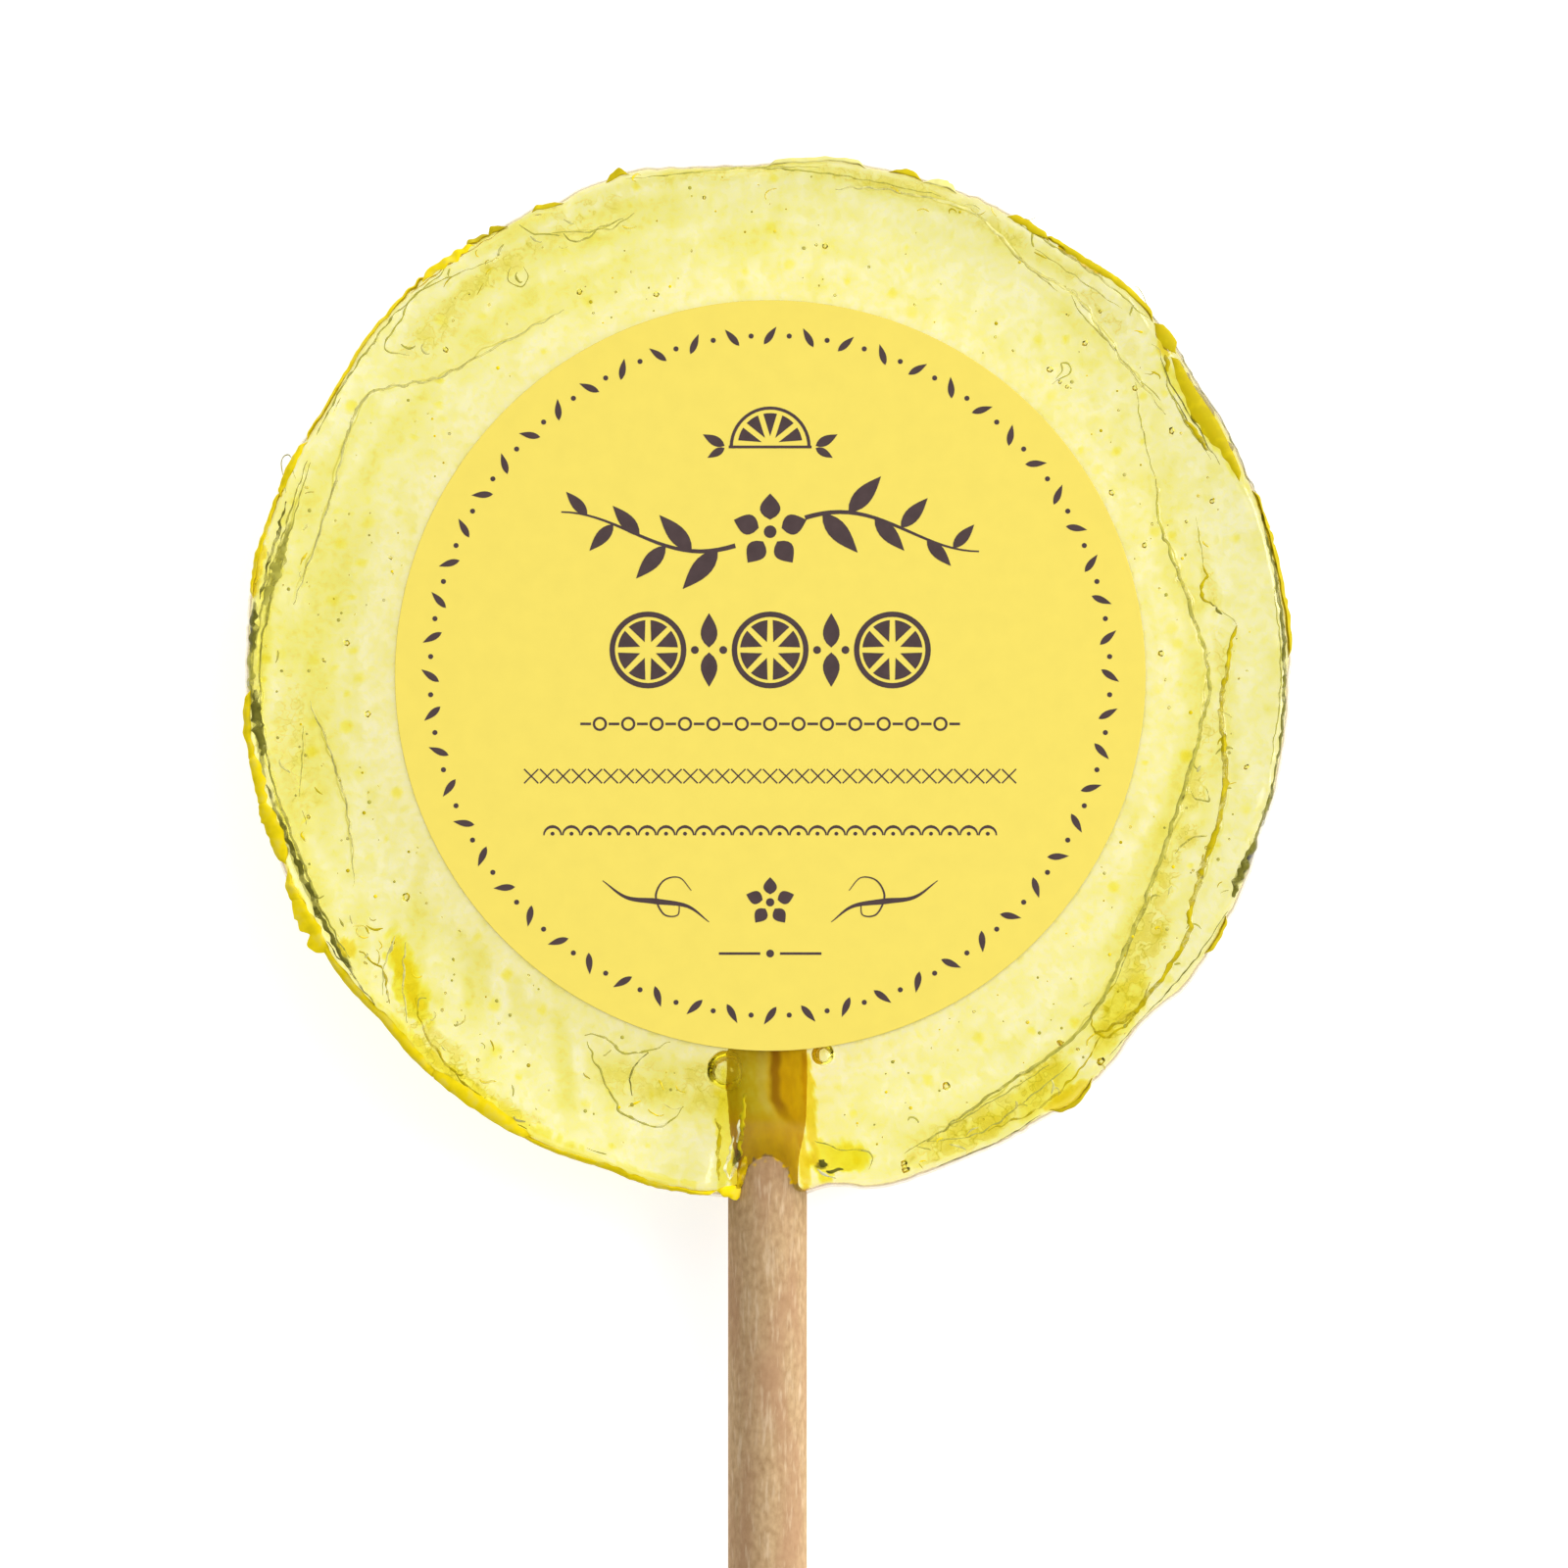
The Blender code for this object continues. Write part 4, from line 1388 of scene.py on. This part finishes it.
def ink_wheel_row(bm, y):
    """Bold row of lemon wheels with pairs of leaves between them."""
    for x in (-6.2, 0, 6.2):
        ink_lemon_wheel(bm, x, y, 1.95)
    for x in (-3.1, 3.1):
        ink_leaf(bm, x, y + 0.12, 1.75, 0.85, 90)
        ink_leaf(bm, x, y - 0.12, 1.75, 0.85, -90)
        ink_dot(bm, x - 0.72, y, 0.2)
        ink_dot(bm, x + 0.72, y, 0.2)


def ink_bead_row(bm, y, reach, pitch):
    """Round beads and short dashes in turn."""
    count = int(reach / pitch)
    for step in range(-count, count + 1):
        if step % 2:
            ink_stroke(bm, [(step * pitch - 0.27, y), (step * pitch + 0.27, y)], 0.13)
        else:
            ink_ring(bm, step * pitch, y, 0.3, 0.12)


def ink_cross_row(bm, y, count, pitch, size):
    for step in range(count):
        x = (step - (count - 1) / 2) * pitch
        ink_stroke(bm, [(x - size, y - size), (x + size, y + size)], 0.07)
        ink_stroke(bm, [(x - size, y + size), (x + size, y - size)], 0.07, layer=1)


def ink_wave_row(bm, y, count, pitch):
    """Small scallops with a dot over each dip."""
    for step in range(count):
        x = (step - (count - 1) / 2) * pitch
        ink_stroke(bm, arc(x, y - 0.3, pitch / 2 - 0.04, 0, 180, 10), (0.07, 0.16, 0.07))
        ink_dot(bm, x, y - 0.22, 0.1)


def ink_flourish(bm, x, y, side):
    """A calligraphic scroll; side is 1 or -1 for its mirrored twin."""
    sweep = smooth_path([(0.2, -0.9), (1.3, -0.1), (2.9, 0.15), (4.4, 0.35), (5.6, 1.2)])
    loop = smooth_path([
        (1.1, 0.7), (1.7, 1.35), (2.5, 1.2), (2.9, 0.4), (2.5, -0.5), (1.8, -0.55), (1.7, 0.1)
    ])
    ink_stroke(bm, sweep * (side, 1) + (x, y), (0.04, 0.3, 0.04))
    ink_stroke(bm, loop * (side, 1) + (x, y), (0.04, 0.1, 0.05), layer=1)


def add_label_print(material):
    """The print: generic lemon and leaf ornament in one dark ink."""
    bm = bmesh.new()
    ink_petal_ring(bm, radius=17.25, count=112)
    ink_half_lemon(bm, x=0, y=11.6, radius=2.1)
    ink_sprig(bm, middle=7.3, reach=10.6, wave=1.0)
    ink_wheel_row(bm, y=1.3)
    ink_bead_row(bm, y=-2.45, reach=9.5, pitch=0.72)
    ink_cross_row(bm, y=-5.1, count=31, pitch=0.808, size=0.36)
    ink_wave_row(bm, y=-7.8, count=24, pitch=0.96)
    for side in (-1, 1):
        ink_flourish(bm, side * 2.9, -11.6, side)
        ink_stroke(bm, [(side * 0.5, -14.1), (side * 2.6, -14.1)], 0.13)
    ink_blossom(bm, x=0, y=-11.5, radius=1.25)
    ink_dot(bm, x=0, y=-14.1, radius=0.2)
    raise_print(bm)
    return link_mesh(finished_mesh("label_print", bm), material)


def raise_print(bm):
    """Give the flat print its height."""
    top = list(bm.faces)
    bmesh.ops.extrude_face_region(bm, geom=top, use_keep_orig=True)
    raised = {vertex for face in top for vertex in face.verts}
    bmesh.ops.translate(bm, verts=list(raised), vec=(0, 0, INK_HEIGHT))
    bmesh.ops.recalc_face_normals(bm, faces=bm.faces)


# Materials

def new_material(name, roughness, specular):
    """A material with its node tree and its shader."""
    material = bpy.data.materials.new(name)
    material.use_nodes = True
    shader = material.node_tree.nodes["Principled BSDF"]
    shader.inputs["Roughness"].default_value = roughness
    shader.inputs["Specular IOR Level"].default_value = specular
    return material, material.node_tree, shader


def add_node(tree, kind, **settings):
    node = tree.nodes.new(kind)
    for name, value in settings.items():
        setattr(node, name, value)
    return node


def plug(tree, value, socket):
    """Give a socket its value, which is another socket, a plain number or a colour."""
    if isinstance(value, bpy.types.NodeSocket):
        tree.links.new(value, socket)
    elif isinstance(value, tuple):
        socket.default_value = (*value, 1)
    else:
        socket.default_value = value


def mix_colours(tree, factor, first, second, blend="MIX"):
    mix = add_node(tree, "ShaderNodeMix", data_type="RGBA", blend_type=blend)
    for index, value in ((0, factor), (6, first), (7, second)):
        plug(tree, value, mix.inputs[index])
    return mix.outputs[2]


def calculate(tree, operation, *values):
    node = add_node(tree, "ShaderNodeMath", operation=operation)
    for value, socket in zip(values, node.inputs):
        plug(tree, value, socket)
    return node.outputs[0]


def map_value(tree, value, start=(0.0, 1.0), end=(0.0, 1.0)):
    """Map a value from the range start to the range end."""
    node = tree.nodes.new("ShaderNodeMapRange")
    for name, limit in zip(("From Min", "From Max", "To Min", "To Max"), (*start, *end)):
        node.inputs[name].default_value = limit
    tree.links.new(value, node.inputs["Value"])
    return node.outputs[0]


def colour_ramp(tree, value, first, last, between):
    """Colours by value: the first at 0, the last at 1 and the others at the places given with them."""
    ramp = tree.nodes.new("ShaderNodeValToRGB")
    elements = ramp.color_ramp.elements
    elements[0].color = (*first, 1)
    elements[1].color = (*last, 1)
    for place, colour in between:
        elements.new(place).color = (*colour, 1)
    tree.links.new(value, ramp.inputs["Fac"])
    return ramp.outputs["Color"]


def unevenness_group():
    """Soft unevenness fixed to the piece: a mask between Low and High, and the plain height."""
    group = bpy.data.node_groups.new("soft_unevenness", "ShaderNodeTree")
    for name, start in (("Scale", 100.0), ("Detail", 3.0), ("Low", 0.35), ("High", 0.65)):
        group.interface.new_socket(name, in_out="INPUT", socket_type="NodeSocketFloat").default_value = start
    stretch = group.interface.new_socket("Stretch", in_out="INPUT", socket_type="NodeSocketVector")
    stretch.default_value = (1, 1, 1)
    group.interface.new_socket("Mask", in_out="OUTPUT", socket_type="NodeSocketFloat")
    group.interface.new_socket("Height", in_out="OUTPUT", socket_type="NodeSocketFloat")
    start = group.nodes.new("NodeGroupInput")
    end = group.nodes.new("NodeGroupOutput")
    place = group.nodes.new("ShaderNodeTexCoord")
    stretched = add_node(group, "ShaderNodeVectorMath", operation="MULTIPLY")
    grain = group.nodes.new("ShaderNodeTexNoise")
    spread = group.nodes.new("ShaderNodeMapRange")
    for source, target in (
        (place.outputs["Object"], stretched.inputs[0]),
        (start.outputs["Stretch"], stretched.inputs[1]),
        (stretched.outputs[0], grain.inputs["Vector"]),
        (start.outputs["Scale"], grain.inputs["Scale"]),
        (start.outputs["Detail"], grain.inputs["Detail"]),
        (grain.outputs["Fac"], spread.inputs["Value"]),
        (start.outputs["Low"], spread.inputs["From Min"]),
        (start.outputs["High"], spread.inputs["From Max"]),
        (spread.outputs[0], end.inputs["Mask"]),
        (grain.outputs["Fac"], end.inputs["Height"]),
    ):
        group.links.new(source, target)
    return group


def uneven(tree, group, **values):
    """The mask and the height of soft unevenness with the given values."""
    node = tree.nodes.new("ShaderNodeGroup")
    node.node_tree = group
    for name, value in values.items():
        node.inputs[name].default_value = value
    return node.outputs["Mask"], node.outputs["Height"]


def point_value(tree, name):
    return add_node(tree, "ShaderNodeAttribute", attribute_name=name).outputs["Fac"]


def add_bump(tree, shader, height, strength, distance):
    bump = tree.nodes.new("ShaderNodeBump")
    bump.inputs["Strength"].default_value = strength
    bump.inputs["Distance"].default_value = distance
    tree.links.new(height, bump.inputs["Height"])
    tree.links.new(bump.outputs["Normal"], shader.inputs["Normal"])


def tint_by_amount(tree, colour, tint, amount):
    """Colour seen through a coloured glaze: an amount of 1 gives the whole tint, 2 gives it twice."""
    glaze = tree.nodes.new("ShaderNodeGamma")
    plug(tree, tint, glaze.inputs["Color"])
    plug(tree, amount, glaze.inputs["Gamma"])
    return mix_colours(tree, 1, colour, glaze.outputs["Color"], "MULTIPLY")


def winding_lines(tree, height, width):
    """Thin winding lines, where an unevenness passes through its middle height."""
    away = calculate(tree, "ABSOLUTE", calculate(tree, "SUBTRACT", height, 0.5))
    return map_value(tree, away, (width, 0.0))


def clear_candy(name):
    """Glassy candy; its body colour comes from what it absorbs on the way through."""
    material, tree, shader = new_material(name, roughness=0.03, specular=0.25)
    shader.inputs["IOR"].default_value = 1.5
    shader.inputs["Metallic"].default_value = 0.0
    shader.inputs["Transmission Weight"].default_value = 1.0
    inside = tree.nodes.new("ShaderNodeVolumeAbsorption")
    inside.inputs["Color"].default_value = (*CANDY_BODY_COLOUR, 1)
    inside.inputs["Density"].default_value = CANDY_ABSORPTION
    tree.links.new(inside.outputs["Volume"], tree.nodes["Material Output"].inputs["Volume"])
    return material, tree, shader


def candy_material(unevenness):
    """Clear lemon candy with clouds, rough places, gold and seams painted on its surface, with painted shade
    where its edge would refract dark surroundings and pale places that are partly painted highlights.
    """
    material, tree, shader = clear_candy("clear_lemon_candy")
    haze, _ = uneven(tree, unevenness, Scale=330.0, Detail=3.0, Low=0.35, High=0.7)
    blotches, relief = uneven(tree, unevenness, Scale=950.0, Detail=4.0, Low=0.45, High=0.66)
    flecks, _ = uneven(tree, unevenness, Scale=2600.0, Detail=3.0, Low=0.5, High=0.68)
    crystals, _ = uneven(tree, unevenness, Scale=1500.0, Detail=5.0, Low=0.38, High=0.6)
    colour = mix_colours(tree, haze, (1, 1, 1), CANDY_HAZE)
    for mask, tint in ((blotches, BLOTCH_TINT), (flecks, FLECK_TINT)):
        colour = tint_by_amount(tree, colour, tint, calculate(tree, "MULTIPLY", mask, SPECK_AMOUNT))
    rough = point_value(tree, "rough")
    for scale, width in CRINKLES:
        _, folds = uneven(tree, unevenness, Scale=scale, Detail=2.0)
        lines = winding_lines(tree, folds, width)
        colour = tint_by_amount(tree, colour, CRINKLE_TINT, calculate(tree, "MULTIPLY", lines, rough))
    for name, tint in CANDY_TINTS.items():
        amount = point_value(tree, name)
        if name == "rough":
            amount = calculate(tree, "MULTIPLY", amount, crystals)
        colour = tint_by_amount(tree, colour, tint, amount)
    tree.links.new(colour, shader.inputs["Base Color"])
    add_bump(tree, shader, relief, 0.4, 0.06 * MM)
    return material


def line_material(unevenness, name, thin_places):
    """Denser candy of folds, flakes and crust: dark olive to pale, by the tone of each piece of relief; the
    dark tone is mostly painted shade and the pale tone painted highlight.

    Below 1, thin_places is how much of the colour is left where the candy thins out.
    """
    material, tree, shader = new_material(name, roughness=0.35, specular=0.05)
    patches, relief = uneven(tree, unevenness, Scale=1700.0, Detail=4.0, Low=0.3, High=0.7)
    tone = calculate(tree, "MULTIPLY_ADD", patches, TONE_SPREAD, point_value(tree, "tone"))
    stops = [(LINE_TONES[kind] + TONE_SPREAD / 2, colour) for kind, colour in TONE_COLOURS.items()]
    colour = colour_ramp(tree, tone, TONE_COLOURS["pale"], TONE_COLOURS["dark"], stops)
    tree.links.new(colour, shader.inputs["Base Color"])
    add_bump(tree, shader, relief, 0.25, 0.04 * MM)
    if thin_places < 1:
        film, _ = uneven(tree, unevenness, Scale=1300.0, Detail=3.0, Low=0.4, High=0.56)
        tree.links.new(map_value(tree, film, end=(thin_places, 1.0)), shader.inputs["Alpha"])
    return material


def fibrous_material(unevenness, name, colours, scale, detail, bump, roughness):
    """Paper or ink that varies between two near colours along its fibres."""
    material, tree, shader = new_material(name, roughness, specular=0.2)
    fibres, relief = uneven(tree, unevenness, Scale=scale, Detail=detail, Low=0.3, High=0.7)
    tree.links.new(mix_colours(tree, fibres, *colours), shader.inputs["Base Color"])
    add_bump(tree, shader, relief, bump, 0.01 * MM)
    return material


def label_material(unevenness):
    colours = (LABEL_YELLOW, LABEL_DARKER)
    return fibrous_material(unevenness, "yellow_label_paper", colours, 900.0, 4.0, bump=0.2, roughness=0.6)


def ink_material(unevenness):
    colours = (INK_BROWN, INK_LIGHTER)
    return fibrous_material(unevenness, "brown_printing_ink", colours, 1500.0, 3.0, bump=0.1, roughness=0.55)


def kraft_material(unevenness):
    """Tan rolled paper, mottled and fibrous, soaked golden brown where the candy holds it."""
    material, tree, shader = new_material("rolled_kraft_paper", roughness=0.85, specular=0.2)
    masks = {}
    for name, (stretch, *values) in KRAFT_MASKS.items():
        settings = dict(zip(("Scale", "Detail", "Low", "High"), values))
        masks[name], _ = uneven(tree, unevenness, Stretch=stretch, **settings)
    colour = mix_colours(tree, masks["mottle"], KRAFT_DARK, KRAFT_LIGHT)
    for name, amount, mark in KRAFT_MARKS:
        colour = mix_colours(tree, calculate(tree, "MULTIPLY", masks[name], amount), colour, mark)
    left = mix_colours(tree, masks["mottle"], SOAKED_MOTTLE, SOAKED_LEFT)
    soaked = mix_colours(tree, masks["streaks"], SOAKED_RIGHT, SOAKED_DEEP)
    for name, part in (("core", SOAKED_CORE), ("left", left), ("streak", SOAKED_STREAK)):
        soaked = mix_colours(tree, point_value(tree, name), soaked, part)
    colour = mix_colours(tree, point_value(tree, "soaked"), colour, soaked)
    tree.links.new(colour, shader.inputs["Base Color"])
    _, fibres = uneven(tree, unevenness, Scale=2500.0, Detail=4.0, Stretch=(1, 0.5, 1))
    add_bump(tree, shader, fibres, 0.5, 0.04 * MM)
    return material


def floor_material():
    """A pale studio table, faintly lit from below."""
    material, _, shader = new_material("pale_floor", roughness=0.9, specular=0.0)
    shader.inputs["Base Color"].default_value = (*FLOOR_WHITE, 1)
    shader.inputs["Emission Color"].default_value = (1, 1, 1, 1)
    shader.inputs["Emission Strength"].default_value = FLOOR_GLOW
    return material


# World, floor, lights and camera

def add_floor(material):
    half = FLOOR_HALF_SIZE
    corners = [(x, y, -FLOOR_DROP) for x, y in ((-half, -half), (half, -half), (half, half), (-half, half))]
    link_mesh(join_parts("floor", [(corners, [(0, 1, 2, 3)])]), material)


def add_world():
    """A soft white studio: dim at the horizon, so that edges of clear candy read, and right overhead."""
    world = bpy.data.worlds.new("soft_studio")
    bpy.context.scene.world = world
    world.use_nodes = True
    tree = world.node_tree
    background = tree.nodes["Background"]
    place = tree.nodes.new("ShaderNodeTexCoord")
    split = tree.nodes.new("ShaderNodeSeparateXYZ")
    tree.links.new(place.outputs["Generated"], split.inputs[0])
    between = [(height, (brightness,) * 3) for height, brightness in SKY_LEVELS]
    light = colour_ramp(tree, split.outputs["Z"], (SKY_LOW,) * 3, (SKY_TOP,) * 3, between)
    for axis, dim in (("X", DIM_LEFT), ("Y", DIM_FRONT)):
        side = map_value(tree, split.outputs[axis], (-1, 1), (dim, 2 - dim))
        shade = add_node(tree, "ShaderNodeVectorMath", operation="SCALE")
        tree.links.new(light, shade.inputs[0])
        tree.links.new(side, shade.inputs["Scale"])
        light = shade.outputs[0]
    tree.links.new(light, background.inputs["Color"])
    background.inputs["Strength"].default_value = SKY_STRENGTH


def add_area_light(name, place, size, power):
    """A square softbox that faces the candy."""
    data = bpy.data.lights.new(name, "AREA")
    data.shape = "SQUARE"
    data.size = size
    data.energy = power
    light = bpy.data.objects.new(name, data)
    light.location = place
    light.rotation_euler = (-Vector(place)).to_track_quat("-Z", "Y").to_euler()
    bpy.context.scene.collection.objects.link(light)


def add_camera():
    data = bpy.data.cameras.new("overhead_camera")
    data.sensor_width = SENSOR_WIDTH
    data.lens = SENSOR_WIDTH * (CAMERA_HEIGHT - STICK_HEIGHT) / FRAME_WIDTH
    data.clip_start = 0.01
    data.clip_end = 20
    camera = bpy.data.objects.new("overhead_camera", data)
    camera.location = (*CAMERA_OFFSET, CAMERA_HEIGHT)
    bpy.context.scene.collection.objects.link(camera)
    bpy.context.scene.camera = camera


def finish_piece(piece, slot, *nodes):
    """Fix the piece to the lollipop, and hide the solids that it stands for; slot is not used."""
    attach(piece, "root")
    if nodes:
        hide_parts(*nodes)


def main():
    bpy.context.scene.view_settings.view_transform = "Standard"
    add_camera()
    add_world()
    add_area_light("key_softbox", KEY_PLACE, KEY_SIZE, KEY_POWER)
    add_floor(floor_material())
    unevenness = unevenness_group()
    finish_piece(add_candy_body(candy_material(unevenness)), "candy", "candy_disc")
    finish_piece(add_candy_lines(line_material(unevenness, "folded_candy", 0.3)), "candy")
    finish_piece(add_rim_crust(line_material(unevenness, "golden_crust", 1)), "candy")
    finish_piece(add_paper_stick(kraft_material(unevenness)), "stick_paper", "paper_stick")
    finish_piece(add_label(label_material(unevenness)), "label_paper", "label")
    finish_piece(add_label_print(ink_material(unevenness)), "label_paper")


main()
